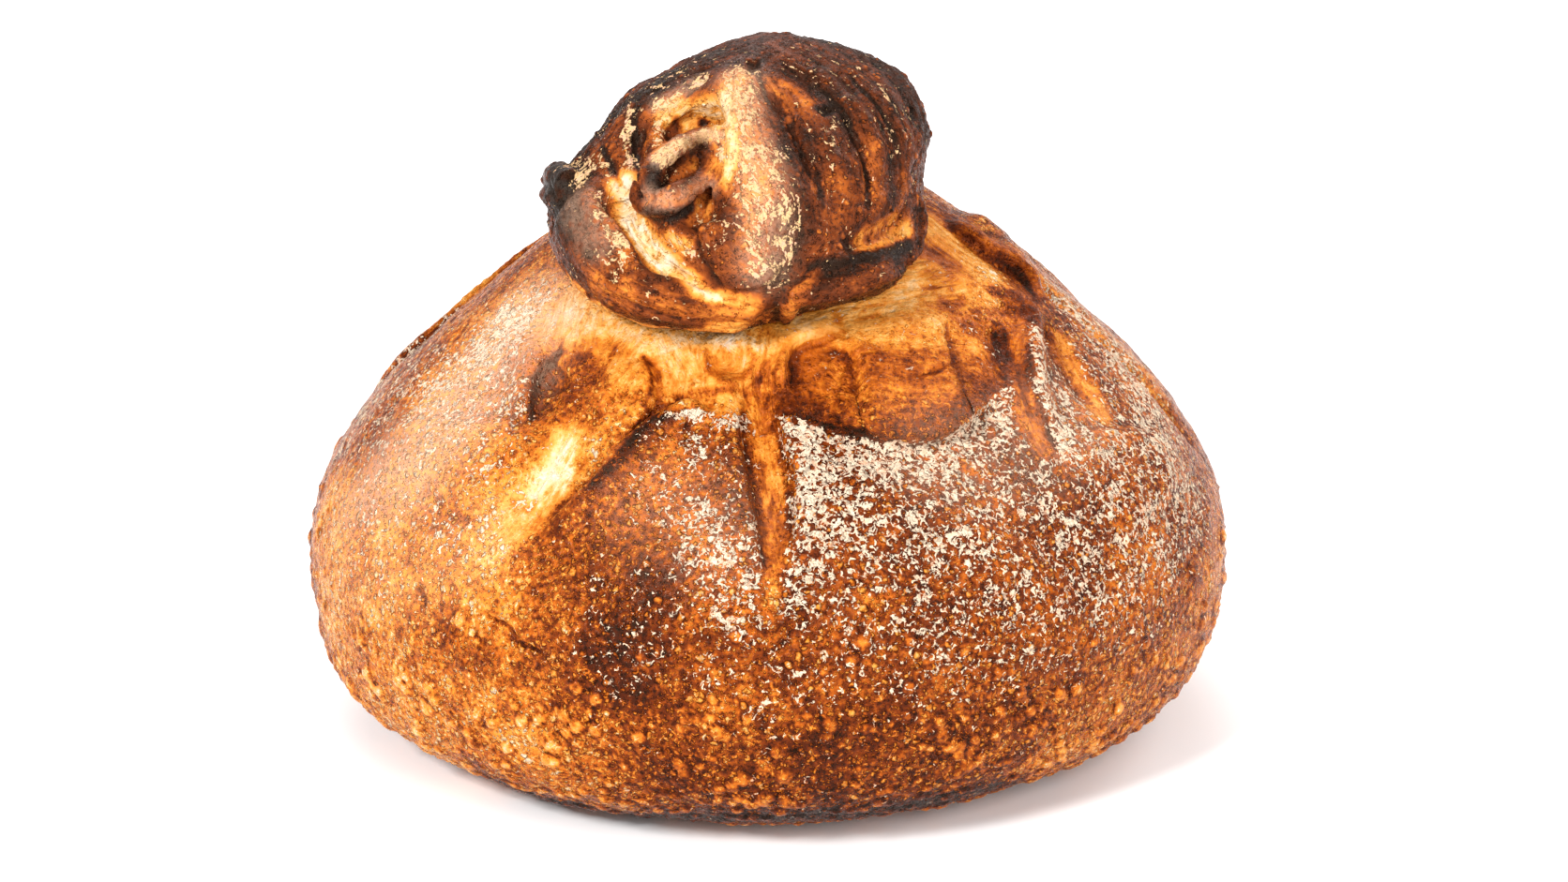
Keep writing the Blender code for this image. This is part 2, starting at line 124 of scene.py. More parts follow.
def around(tree, mark):
    """Where the line in to the axis at (azimuth in degrees, height in millimetres) meets the surface."""
    azimuth, height = math.radians(mark[0]), mark[1] * MM
    out = Vector((math.cos(azimuth), math.sin(azimuth), 0))
    start = Vector((0, 0, height)) + out * LOAF_WIDTH
    hit = tree.ray_cast(start, -out)[0]
    return hit if hit is not None else tree.find_nearest(start)[0]


def laid(tree, marks, place, steps=PATH_STEPS):
    """A smooth path through the marks, laid on the surface. A single mark stays one point."""
    path = marks_of(marks)
    path = smooth_path(path, steps) if len(path) > 1 else path
    return np.array([place(tree, mark) for mark in path])


def near_path(points, path, reach):
    """Which points lie in the path's box, widened by the reach."""
    return np.flatnonzero(((points > path.min(0) - reach) & (points < path.max(0) + reach)).all(1))


def nearest_on(path, points):
    """Distance to a path, share of its length there, offset from it, and its direction there."""
    if len(path) == 1:
        offset = points - path[0]
        return np.linalg.norm(offset, axis=1), np.zeros(len(points)), offset, np.zeros_like(offset)
    lengths = np.linalg.norm(np.diff(path, axis=0), axis=1)
    starts = np.concatenate([[0], np.cumsum(lengths)])
    best = np.full(len(points), np.inf)
    along = np.zeros(len(points))
    offset = np.zeros_like(points)
    tangent = np.zeros_like(points)
    for i, length in enumerate(lengths):
        if length < 1e-9:
            continue
        way = (path[i + 1] - path[i]) / length
        t = np.clip((points - path[i]) @ way, 0, length)
        gap = points - path[i] - t[:, None] * way
        away = np.linalg.norm(gap, axis=1)
        better = away < best
        best[better] = away[better]
        along[better] = (starts[i] + t[better]) / starts[-1]
        offset[better] = gap[better]
        tangent[better] = way
    return best, along, offset, tangent


def stroke(points, normals, tree, moved, marks, width, height, over=None, place=on_face, taper=0.25):
    """Presses a ridge or groove along a path. One that laps over is a fold: it stands proud on the left of
    its path and drops away on the right. Sizes are in millimetres."""
    path = laid(tree, marks, place)
    width = width * MM
    near = near_path(points, path, STROKE_REACH * width)
    if not len(near):
        return
    n = normals[near]
    away, along, offset, tangent = nearest_on(path, points[near])
    ends = np.ones(len(near))
    if len(path) > 1 and taper > 0:
        ends = np.clip(np.minimum(along, 1 - along) / taper, 0, 1)
        ends = ends * ends * (3 - 2 * ends)
    lift = height * MM * (np.exp(-((away / width) ** 2)) * ends)
    if over is None:
        moved[near] += n * lift[:, None]
        return
    left = np.cross(n, tangent)
    high = 0.5 + 0.5 * np.tanh((left * offset).sum(1) / FOLD_EDGE)
    moved[near] += n * (lift * ((1 + FOLD_DROP) * high - FOLD_DROP))[:, None]
    lap = np.exp(-((away / (FOLD_LAP * width)) ** 2)) * ends * high
    moved[near] -= left * (over * MM * lap)[:, None]


def add_object(name, data):
    """A new object in the scene."""
    made = bpy.data.objects.new(name, data)
    bpy.context.scene.collection.objects.link(made)
    return made


def add_mesh(name, bm):
    """A new object in the scene with the mesh that bm holds. Frees bm."""
    mesh = bpy.data.meshes.new(name)
    bm.to_mesh(mesh)
    bm.free()
    return add_object(name, mesh)


def ball(name, cuts):
    """A ball of nearly even quads, from a cube with its sides cut up and puffed out to radius 1."""
    bm = bmesh.new()
    bmesh.ops.create_cube(bm, size=2)
    bmesh.ops.subdivide_edges(bm, edges=bm.edges[:], cuts=cuts, use_grid_fill=True)
    for vertex in bm.verts:
        vertex.co = Vector(math.tan(side * math.pi / 4) for side in vertex.co).normalized()
    return add_mesh(name, bm)


class Clay:
    """The skin of a mesh of quads, to be pressed along paths."""

    def __init__(self, obj):
        self.mesh = obj.data
        self.points = np.empty(len(self.mesh.vertices) * 3, np.float32)
        self.mesh.vertices.foreach_get("co", self.points)
        self.points = self.points.reshape(-1, 3).astype(float)
        self.faces = np.array([face.vertices[:] for face in self.mesh.polygons])

    def spread(self, values):
        """For each vertex, the sum of the values of the faces round it."""
        total = np.zeros((len(self.points), *values.shape[1:]))
        for i in range(4):
            np.add.at(total, self.faces[:, i], values)
        return total

    def facing(self):
        """Each face's normal, twice as long as the face is large."""
        a, b, c, d = (self.points[self.faces[:, i]] for i in range(4))
        return np.cross(c - a, d - b)

    def normals(self):
        total = self.spread(self.facing())
        return total / np.maximum(np.linalg.norm(total, axis=1, keepdims=True), 1e-12)

    def areas(self):
        """The area of skin round each vertex."""
        return self.spread(np.linalg.norm(self.facing(), axis=1) / 8)

    def tree(self):
        return BVHTree.FromPolygons(self.points.tolist(), self.faces.tolist())

    def press(self, strokes):
        """Moves the skin by every stroke, each laid out on the skin as it is before the first."""
        tree, normals = self.tree(), self.normals()
        moved = self.points.copy()
        for settings in strokes:
            stroke(self.points, normals, tree, moved, *settings)
        self.points = moved

    def set_points(self):
        """Puts the pressed skin into the mesh."""
        self.mesh.vertices.foreach_set("co", self.points.astype(np.float32).ravel())
        self.mesh.update()


def turned_body(directions):
    """The body before its folds: the profile turned, and pulled a little out of round."""
    profile = smooth_path(marks_of(BODY_PROFILE), PROFILE_STEPS)
    profile = profile / BODY_PROFILE_SIZE * (LOAF_WIDTH / 2, DOME_HEIGHT)
    steps = np.linalg.norm(np.diff(profile, axis=0), axis=1)
    share = np.concatenate([[0], np.cumsum(steps)]) / steps.sum()
    azimuth = np.arctan2(directions[:, 1], directions[:, 0])
    rise = 1 - np.arccos(np.clip(directions[:, 2], -1, 1)) / math.pi
    radius = np.interp(rise, share, profile[:, 0])
    height = np.interp(rise, share, profile[:, 1])
    low = np.clip(1 - height / FOOT_HEIGHT, 0, 1)
    waves = (size * np.cos(count * (azimuth - math.radians(crest))) for count, size, crest in BODY_WAVES)
    radius = radius * (1 + sum(waves))
    radius = radius * (1 + FOOT_LEAN * low**2 * np.cos(azimuth - FOOT_LEAN_AZIMUTH))
    x = radius * np.cos(azimuth)
    y = radius * np.sin(azimuth) * LOAF_DEPTH / LOAF_WIDTH
    return np.stack([x, y, height], axis=1)


def slumped_knot(directions):
    """The topknot before its folds: a bun with the outline it shows, sagging forward below and back above."""
    _, right, up, forward = (np.array(axis) for axis in eye_axes())
    across, rise, near = directions @ right, directions @ up, -(directions @ forward)
    turn = np.arctan2(rise, across)
    outline = marks_of(KNOT_OUTLINE)
    outline = smooth_path(outline + outline[:1], OUTLINE_STEPS)[:-1] - KNOT_MIDDLE
    angles = np.arctan2(outline[:, 1], outline[:, 0])
    order = np.argsort(angles)
    reach = np.interp(turn, angles[order], np.hypot(*outline.T)[order], period=2 * math.pi)
    marks = (reach * np.hypot(across, rise))[:, None] * np.stack([np.cos(turn), np.sin(turn)], axis=1)
    lift = marks[:, 1] * MM
    thick = np.where(near > 0, KNOT_THICK_FRONT, KNOT_THICK_BACK)
    depth = KNOT_BACK_SET + KNOT_SLUMP[0] * lift + KNOT_SLUMP[1] * lift**2 - thick * near
    spread = (1 + depth / EYE_DISTANCE)[:, None] * (marks + KNOT_MIDDLE) * MM
    plane = np.array(FACE_POINT) + spread[:, :1] * right + spread[:, 1:] * up
    return plane + depth[:, None] * forward


def knot(cuts):
    """The topknot's bun, pressed with its folds, and the ropes of dough on it."""
    made = ball("knot", cuts)
    clay = Clay(made)
    clay.points = slumped_knot(clay.points)
    clay.press(KNOT_FORMS)
    clay.press(KNOT_FOLDS)
    clay.set_points()
    tree = clay.tree()
    return [made, *(rope(*settings, tree) for settings in ROPES)]


def rope(name, marks, radii, lift, tree):
    """A closed tube of dough laid on the shown face, at a height over it in millimetres."""
    forward = eye_axes()[3]
    path = smooth_path(marks_of(marks))
    curve = bpy.data.curves.new(name, "CURVE")
    curve.dimensions = "3D"
    curve.bevel_depth = MM
    curve.bevel_resolution = 3
    curve.use_fill_caps = True
    spline = curve.splines.new("POLY")
    spline.points.add(len(path) - 1)
    for point, mark, share in zip(spline.points, path, np.linspace(0, 1, len(path))):
        point.co = (*(on_face(tree, mark) - forward * (lift * MM)), 1)
        point.radius = float(np.interp(share, np.linspace(0, 1, len(radii)), radii))
    tube = add_object(name, curve)
    graph = bpy.context.evaluated_depsgraph_get()
    bm = bmesh.new()
    bm.from_mesh(bpy.data.meshes.new_from_object(tube.evaluated_get(graph)))
    bmesh.ops.remove_doubles(bm, verts=bm.verts[:], dist=WELD)
    bpy.data.objects.remove(tube)
    return add_mesh(name + "_solid", bm)


def joined(objects, name):
    """One object that holds the meshes of several, as they stand."""
    bm = bmesh.new()
    for obj in objects:
        bm.from_mesh(obj.data)
        bpy.data.objects.remove(obj)
    return add_mesh(name, bm)


# Paths that several tables share
PANEL_SIDE_TOP = "-34,8 -40,6 -45,0 -49,-5 -55,-11"
PANEL_SIDE_UPPER = PANEL_SIDE_TOP + " -63,-19"
PANEL_SIDE = PANEL_SIDE_UPPER + " -73,-28"
PANEL_TOP = "-34,8 -27,10 -23,9 -17,8 -13,10"
PILLOW_RIM = "3,7 17,2 33,0 45,1 53,7 61,14"
RIDGE_SIDE = "-17,99 -16,89 -16,79 -18,71 -23,63"
CURL_TOP = "-19,88 -26,86 -32,84 -36,81"

# The body's broad forms and its folds. A stroke is (marks, width, height) in millimetres; a fourth number
# makes it a fold that laps over by so much. Marks are x,y on the shown face, across and up.
BODY_FORMS = [
    ("19,19 33,20 49,19", 15, 4.5, None, on_face, 0.1),
    ("-82,8 -96,-20", 26, 2.5),
    ("60,-20 40,-60", 34, 2),
    ("-36,-24 -30,-59", 26, 2.5),
    ("96,6 110,-20", 24, 2.5),
    ("49,66 61,57 69,48", 9, 3.2, None, on_face, 0.3),
]
BODY_FOLDS = [
    # the torn valley down the middle, and its two edges
    ("-7,29 -8,16 -6,6 -5,-5 -4,-16 -3,-28 -4,-41", 5.2, -3.4),
    ("-6,-41 -7,-33 -9,-20 -11,-10 -13,0 -13,9 -10,15", 6, 2.4, 0.8),
    ("-4,17 -2,9 0,1 2,-7 3,-16 2,-27 -3,-37", 6, 2, 0.6),
    # the pillow that bulges over the floured panel
    ("3,9 12,6 23,3 32,0 44,1 53,6 62,14", 9, 3.8, 1.4),
    ("2,12 1,19 2,26 9,30 19,32", 6, 2.4, 0.6),
    ("61,34 62,30 64,23 64,15", 3.6, -2.6),
    # the flap, the rope and the valleys to the right of the pillow
    ("44,64 50,60 58,54 66,50 70,46 73,40", 7, 3.6, 1.2),
    ("57,44 65,41 71,34 71,24 72,15 75,6 77,-2", 4.4, 3.4),
    ("76,34 78,28 82,21 86,15 90,8", 4.4, -3.2),
    ("74,46 76,43 77,39", 5, -3),
    # the torn hollow and the leaf of dough on the left
    ("-57,2 -64,-7 -71,-16 -79,-24", 8.5, -3.4),
    ("-49,-4 -42,5 -38,12 -38,19 -40,25", 7, 2.4, 0.8),
    ("-53,6 -51,14 -47,19 -41,25", 4, 1.6),
    ("-73,5 -72,11 -72,17 -69,22 -65,24", 7, 3.6, 1.6),
    ("-67,13 -66,18 -62,22", 5, -3),
    ("-79,33 -75,27 -70,25 -64,26", 3, 1.5),
    # the brown panel's upper edge, and the small folds above it
    ("-13,11 -20,8 -27,11 -34,8 -41,4 -47,-3 -54,-11 -63,-19 -74,-27", 9, 3.2, 1.4),
    ("-30,12 -25,15 -18,15 -12,15", 2.8, 1.6),
    ("-17,29 -11,28 -9,23 -11,18 -17,17 -21,19 -23,25 -19,29", 1.9, 1.6, None, on_face, 0),
    ("-17,23", 4.2, -2),
    # creases from under the topknot down the sides and the back: (azimuth in degrees, height in millimetres)
    ("2,142 -4,122 -7,98 -5,72", 6, -3.4, None, around),
    ("-5,76 -8,100 -5,124 0,140", 7, 2.4, 1, around),
    ("52,146 47,126 50,104 46,84", 7, -4, None, around),
    ("58,144 55,124 57,102 52,84", 8, 3.2, 1.2, around),
    ("98,148 102,130 97,108 101,82 98,60", 6, -3.6, None, around),
    ("106,144 110,122 107,98 108,70", 8, 3, 1.2, around),
    ("128,140 138,124 150,112", 12, 3.4, None, around),
    ("160,96 148,98 134,104 122,112", 8, 3.2, 1.2, around),
    ("166,144 162,126 166,104 161,80", 7, -2, None, around),
    ("170,80 174,104 169,126 172,142", 10, 1.2, 2, around),
    ("20,138 26,122 22,104", 9, 2.6, None, around),
]

# The topknot's outline as it is seen, in the same marks, anticlockwise from its right end
KNOT_OUTLINE = (
    "42,89 37,102 26,110 11,115 -5,117 -20,113 -34,106 -45,100 -53,89 -62,79 -67,70 -67,58 "
    "-61,46 -48,36 -32,32 -12,32 4,36 24,41 34,47 39,59 40,75"
)

# The topknot's broad lobes, then its folds
KNOT_FORMS = [
    # the main ridge that comes down towards the viewer, and the lobes to its right
    ("-12,109 -14,100 -12,89 -6,78 1,69 1,58", 8, 4.5),
    ("19,106 27,93 28,78 21,62", 12, 1.6),
    # the outer fold on the upper left, and the thick band that runs round under everything
    ("-12,110 -28,105 -39,98 -49,86 -53,77", 7, 2.2),
    ("-63,69 -60,58 -52,48 -39,40 -23,36 -7,34", 7.5, 3, None, on_face, 0.1),
    # the hollow behind the curl, and the pale trough inside the band
    ("-29,96 -25,89 -23,79 -24,69 -26,59", 6.5, -6.5, None, on_face, 0.15),
    ("-47,75 -45,67 -41,59 -33,51 -20,44 -8,39", 7, -6.5, None, on_face, 0.15),
]
KNOT_FOLDS = [
    ("-31,92 -26,91 -22,90", 5, -6, None, on_face, 0),
    ("-33,59 -29,53 -23,48 -14,44 -5,42 5,45 10,51", 4.6, 3.4),
    ("-24,63 -22,55 -15,47 -8,45 -3,48 2,54", 7, 3.2, 1.6),
    ("-14,100 -15,93 -16,83 -18,74 -23,64", 5, 2.8, 1),
    # the crease inside the outer fold, and the band's upper edge
    ("-42,94 -43,83 -43,74 -45,68", 3.2, -3),
    ("-51,83 -49,76 -46,70 -44,63", 3, -2.4),
    ("-18,41 -30,45 -39,48 -46,58 -53,67 -57,74", 6, 3, 1.2),
    # long creases that run over the right side like slices of an orange
    ("-9,105 -3,98 2,89 6,81 9,74 10,67", 3, -2.6),
    ("-6,110 5,105 13,99 19,89 23,80 24,72 20,63", 3, -2.6),
    ("11,105 20,102 29,92 32,83 31,74 30,67", 3, -2.2),
    ("24,111 32,104 37,95 39,87", 2.8, -1.8),
    # the pale pocket under the right side, and the flap below it with a dark rim
    ("21,56 28,58 35,60", 4.6, -4.2, None, on_face, 0),
    ("4,44 13,46 24,50 33,54 38,58", 7, -1),
    ("9,50 16,51 24,53 31,54 36,56", 3, 2.4),
    ("2,41 13,44 24,47 32,50", 5, 2.6),
    # folds over the crown and the back: (azimuth in degrees, height in millimetres)
    ("30,190 36,176 38,160", 5, -3, None, around),
    ("62,192 66,178 62,162", 5, 3.4, 1, around),
    ("92,192 88,176 94,160", 4.5, -3, None, around),
    ("124,190 120,176 128,160", 5, 3.2, 1, around),
    ("158,184 150,170 154,158", 4.5, -2.8, None, around),
]

# Ropes of dough on the topknot: name, marks, radii from first mark to last, height over the bun (millimetres)
ROPES = [
    ("curl_upper", "-18,88 -26,86 -33,82 -37,78 -38,73 -36,72",
     (2.4, 2.8, 3.4, 4.0, 2.8), 4.0),
    ("curl_inner", "-19,88 -19,82 -23,75 -28,72 -35,70 -40,73",
     (2.6, 3.0, 3.2, 2.6, 2.0), 3.6),
    ("curl_outer", "-27,70 -33,67 -39,67 -42,70 -41,74", (2.0, 2.6, 2.8, 2.6, 2.0), 2.4),
    ("knob", "-61,73 -64,75 -65,77", (4.6, 4.8, 3.4), 1.0),
    ("knob_tip", "-63,70 -67,70 -69,70", (3.6, 3.4, 2.4), 0.0),
    ("ear", "38,71 39,66 39,61 38,55 36,51", (1.4, 1.9, 2.1, 1.9, 1.4), 0.0),
    ("lip", "1,41 13,43 24,46 33,50", (2.6, 3.8, 3.8, 2.4), 0.5),
    ("drip", "2,40 1,37 0,34", (3.0, 2.8, 1.6), 0.5),
]

# Finer folds that only the skins have
BODY_WRINKLES = [
    ("21,32 33,32 44,34 52,38", 4, 0.8),
    ("9,34 23,36 37,42 47,48", 3, -0.8),
    ("12,29 24,26 32,22", 3, 0.6),
    ("37,18 44,20 50,23", 0.8, -0.9),
    ("40,59 49,52 60,48", 3, -0.9),
    ("39,50 47,47 56,46", 3, 0.8),
    ("-90,-53 -86,-59", 0.8, -0.8, None, on_face, 0.1),
    ("-106,-45 -105,-42 -103,-46 -105,-49", 0.8, -0.8, None, on_face, 0.1),
    ("-87,-48 -84,-51 -79,-53 -77,-57 -73,-59 -68,-61", 0.8, -1, None, on_face, 0.1),
    ("-32,32 -36,26 -39,21", 3, -0.8),
    ("-50,29 -39,27 -31,28", 3, 0.7),
    ("68,23 69,14 72,4", 2, -1),
    ("64,24 65,16 68,7", 1.8, 0.9),
    ("73,11 76,3 79,-3", 1.6, -0.8),
]
KNOT_WRINKLES = [
    # the edges of the slices on the right, each lapping over the next
    ("23,67 22,77 19,86 14,95 10,99", 3.4, 1.5, 0.7),
    ("30,65 32,74 32,82 29,91 23,99 17,105", 3, 1.1, 0.5),
    ("10,67 9,73 8,81 6,89", 2.6, 1.2, 0.5),
    ("36,95 33,102 28,107", 2.2, 0.9, 0.4),
    ("10,71 6,76 3,83 -1,91 -5,99 -9,105", 3, 1.6, 0.8),
    ("14,95 10,94", 1.6, -1.6, None, on_face, 0.1),
    ("-6,109 -9,108 -10,105", 1.4, -1.1, None, on_face, 0.2),
    ("13,90 14,78", 1.4, 0.6),
    # the creases between the sheets on the left
    ("-42,75 -43,86 -43,95", 2, 0.9, 0.5),
    ("-47,70 -49,77 -52,84", 2, 0.9, 0.5),
    ("-46,63 -49,69 -54,74", 1.6, -1),
    ("-56,54", 1.3, -2),
    ("-27,102 -32,98 -36,96", 1.8, 0.6),
    # lengthwise strands in the band and the trough
    ("-63,56 -57,49 -47,43", 1.3, 0.6),
    ("-60,57 -53,48 -42,43 -31,40", 1.3, -0.7),
    ("-53,44 -39,37 -23,34 -10,34", 1.3, -0.7),
    ("-50,46 -36,39 -20,37 -7,36", 1.3, 0.6),
    ("-36,43 -23,39 -7,37", 1.2, -0.6),
    ("-40,59 -33,52 -23,46", 1.2, 0.5),
    ("-42,62 -37,53 -27,46 -15,42", 1.2, -0.6),
    ("2,43 6,45 10,48", 1.6, 0.7),
]

# How far the body's crust is baked, from 0, pale crumb, to 1, burnt, and where shade is painted into it in
# gaps, hollows and under edges, as marked below. A dab of paint is (marks, width in millimetres, value), with
# the place of its marks and the side it keeps to where they need saying.
BODY_BAKE_AND_SHADE = [
    ("-74,-94 -20,-88 17,-96 57,-88", 26, 0.69),
    ("84,-72 106,-54 118,-35", 22, 0.54),
    ("33,-84 57,-88", 15, 0.6),
    ("-117,-51 -98,-72 -74,-88", 26, 0.43),
    ("-130,-19 -130,-45", 13, 0.32),
    ("-96,-3 -106,-24", 24, 0.36),
    ("-90,-24 -85,-45", 14, 0.42),
    ("-96,-59 -90,-62", 6, 0.54),
    ("-98,14 -85,27 -73,40", 16, 0.36),
    ("-79,-102 -42,-107 -4,-108 33,-105 65,-98", 7, 0.9),
    ("-132,-32 -128,-56 -114,-78 -98,-91", 14, 0.38),
    ("124,-19 122,-37 114,-59 98,-76", 10, 0.5),
    ("74,-92 92,-79", 7, 0.46),
    ("-36,-13 -26,-35 -31,-56", 26, 0.5),
    ("-58,-40 -63,-56", 12, 0.6),
    ("-39,-35 -45,-45", 12, 0.6),
    ("-39,-44 -47,-53", 10, 0.76),
    ("-50,-62 -46,-71 -32,-71 -31,-62", 9, 0.8),
    ("-20,-59 -10,-72", 14, 0.6),
    ("12,-8 33,-19 60,-19", 34, 0.66),
    ("17,-48 55,-51 79,-35", 26, 0.62),
    ("84,19 98,-3 111,-24", 26, 0.58),
    ("79,40 95,28 106,14", 12, 0.44),
    ("-63,34 -47,28 -31,25 -12,26", 12, 0.14),
    ("-27,19 -18,12 -36,18", 7, 0.26),
    # the torn hollow, the leaf and the flap on the left
    ("-61,-3 -70,-15 -79,-28", 9, 0.24),
    ("-62,-2 -65,-9 -70,-16", 5, 0),
    ("-42,20 -45,8 -54,-5", 5.5, 0.36),
    ("-58,23 -54,20 -57,15", 4.4, 0.6),
    ("-62,26 -53,28 -45,25", 2.5, 0.34),
    # painted shade: a dark line in the gap under the flap's curled edge
    ("-68,23 -70,19 -72,12 -72,7", 1.3, 0.9),
    ("-64,25 -67,22", 1.6, 0.86),
    (PANEL_SIDE, 11, 0.56, on_face, 1),
    (PANEL_SIDE_TOP, 3.6, 0.92, on_face, 1),
    # painted shadow along the right edge of the leaf, which stands over the dough beside it
    ("-40,24 -38,19 -38,15 -40,10", 0.9, 0.66),
    # the valley down the middle
    ("-6,19 -6,6 -4,-5 -3,-19 -3,-32", 4.2, 0.38),
    ("-3,-32 -3,-41 -4,-50", 2.2, 0.4),
    ("-6,16 -7,6", 3.2, 0.42),
    # painted shadow: a thin dark line along the valley's left edge, under the edge that laps over it
    ("-12,8 -13,0 -11,-8 -10,-14 -8,-24 -6,-35", 0.9, 0.76),
    ("-3,20 -2,14 1,6 3,-5 4,-16", 1, 0.62),
    # the knob, the lip under it and the neck
    ("-22,25 -21,20 -16,17 -11,19 -9,23 -10,26", 1.3, 0.48),
    ("-31,12 -24,14 -12,15", 1.2, 0.48),
    ("-16,23", 3.6, 0.24),
    # the pillow
    ("13,19 33,14 52,18", 12.5, 0.5),
    # painted shade in the recess at the pillow's left end
    ("3,16 3,22 7,26", 3.8, 0.58),
    ("13,29 28,30 44,29 53,27", 4.4, 0.38),
    # painted shade on the pillow's under-edge, where it curves down over the panel
    (PILLOW_RIM, 5.5, 0.7, on_face, 1),
    ("19,32 33,32 44,35", 5, 0.3),
    # painted shade in the gap at the pillow's right end
    ("61,34 61,28 60,23", 1.7, 0.74),
    ("4,32 17,36 33,40 41,48", 6, 0.18),
    # the flap, the rope and the valley to the right
    ("40,62 49,56 57,48", 8, 0.26),
    ("44,46 57,43", 6, 0.34),
    ("49,63 57,58 66,51 72,44", 3, 0.54),
    # painted shadow along the flap's lower edge, which stands over the dough below it
    ("47,63 55,56 63,52 68,47 72,40", 1.2, 0.74),
    ("60,43 67,41 71,35", 2.2, 0.72),
    ("65,34 67,23 68,14 71,4 75,-1", 4, 0.46),
    # painted shade in the crease that runs down from the pillow's right end
    ("63,32 64,23 64,16", 1.2, 0.66),
    ("70,27 71,19 74,8 78,-2", 1, 0.8),
    ("79,28 82,21 86,15 90,8", 4.4, 0.32),
    # the sides and the back: (azimuth in degrees, height in millimetres)
    ("60,60 110,80 150,60", 60, 0.58, around),
    ("75,118 125,122 160,112", 24, 0.68, around),
    ("50,100 47,126", 8, 0.34, around),
    ("99,80 101,108 98,134", 7, 0.32, around),
    ("168,90 171,120", 7, 0.34, around),
]

# How thickly flour lies on the body
BODY_FLOUR = [
    ("12,-24 33,-29 65,-27", 26, 0.62),
    ("6,-40 28,-45", 14, 0.6),
    ("28,-51 44,-62 65,-56", 18, 0.4),
    ("71,-35 87,-45", 20, 0.5),
    ("-15,-62 6,-70", 14, 0.34),
    ("-26,-24 -18,-36 -12,-48", 9, 0.66),
    ("-36,-13 -26,-5", 10, 0.46),
    (PANEL_TOP, 5, 0.5, on_face, -1),
    ("-32,9 -27,9 -24,7", 2, 0.95),
    ("-17,5 -14,5", 2.4, 0.9),
    ("-39,-45 -47,-62", 12, 0.34),
    ("-98,14 -87,24 -78,34", 15, 0.86),
    ("-112,0 -98,3 -79,14", 16, 0.5),
    ("-122,-24 -104,-24 -85,-13", 18, 0.34),
    ("82,8 92,-8 103,-29", 24, 0.57),
    ("82,38 92,27 104,11 114,-11", 18, 0.68),
    (PILLOW_RIM, 14, 0.78, on_face, -1),
    ("3,7 5,-8 4,-24", 7, 0.8, on_face, 1),
    ("70,30 71,19 74,8 78,-2", 7, 0.78, on_face, 1),
    # bare: the valleys, the pillow, the hollow, the rope and the flap
    ("-6,30 -6,16 -5,6 -4,-5 -3,-19 -3,-32", 4, 0),
    ("-3,-32 -3,-41 -4,-48", 2.2, 0),
    (PANEL_TOP, 12, 0, on_face, 1),
    (PILLOW_RIM, 14, 0, on_face, 1),
    (PANEL_SIDE_UPPER, 10, 0, on_face, -1),
    ("-63,19 -66,6 -70,-8", 8, 0.06),
    ("64,34 67,23 68,14 71,6 74,-1", 4, 0),
    ("78,28 82,21 86,15 90,8", 3, 0.04),
    ("47,67 57,59 66,51 70,40", 6, 0),
    # the sides and the back: (azimuth in degrees, height in millimetres)
    ("20,100 35,118", 16, 0.64, around),
    ("70,92 88,70", 22, 0.58, around),
    ("120,80 140,100 150,74", 26, 0.56, around),
    ("175,104 186,86 196,104", 18, 0.52, around),
]

# Where a thin film of flour pales the body
BODY_FILM = [
    ("-117,-16 -104,-3 -85,19 -74,35", 18, 0.62),
    ("-120,-35 -104,-35 -90,-29", 14, 0.16),
    ("44,-5 65,-3 82,8", 16, 0.16),
    ("-36,-19 -20,-24", 16, 0.12),
]

# How much of the body is torn and stretched dough, smooth and stringy, without blisters
BODY_TORN = [
    ("-63,34 -47,26 -31,23 -18,20", 13, 0.9),
    ("-63,0 -66,-11 -75,-24", 8, 0.9),
    (PANEL_SIDE, 9, 0, on_face, 1),
    (PANEL_TOP, 8, 0, on_face, -1),
    ("-57,19", 7, 0.3),
    ("-6,27 -6,6 -4,-16 -3,-35", 4.2, 0.8),
    ("6,19 33,19 56,23", 12, 0.75),
    ("4,34 23,39 44,48 41,62", 14, 1),
    ("49,63 57,58 66,51 70,40 65,27", 6, 0.7),
    ("67,26 68,14 74,0", 3.6, 0.8),
    ("78,28 86,15 90,8", 3.6, 0.8),
    ("50,96 47,126", 10, 0.8, around),
    ("99,70 101,108 98,134", 9, 0.8, around),
    ("168,86 171,122", 9, 0.8, around),
]

# Lines along which the body's dough was stretched, for its grain
BODY_GRAIN = [
    "-39,29 -46,19 -53,8 -62,-7 -74,-24 -85,-35",
    "-63,35 -66,24 -70,11 -74,-8",
    "-36,28 -32,19 -31,12",
    "-6,29 -8,16 -6,6 -4,-16 -3,-37",
    "9,32 23,29 39,28 55,26 61,20",
    "6,34 23,38 41,41 57,43 68,38",
    "41,63 52,54 64,47 71,38 68,24 71,8 76,-1",
    "77,32 82,21 86,15 90,8 98,-3",
]
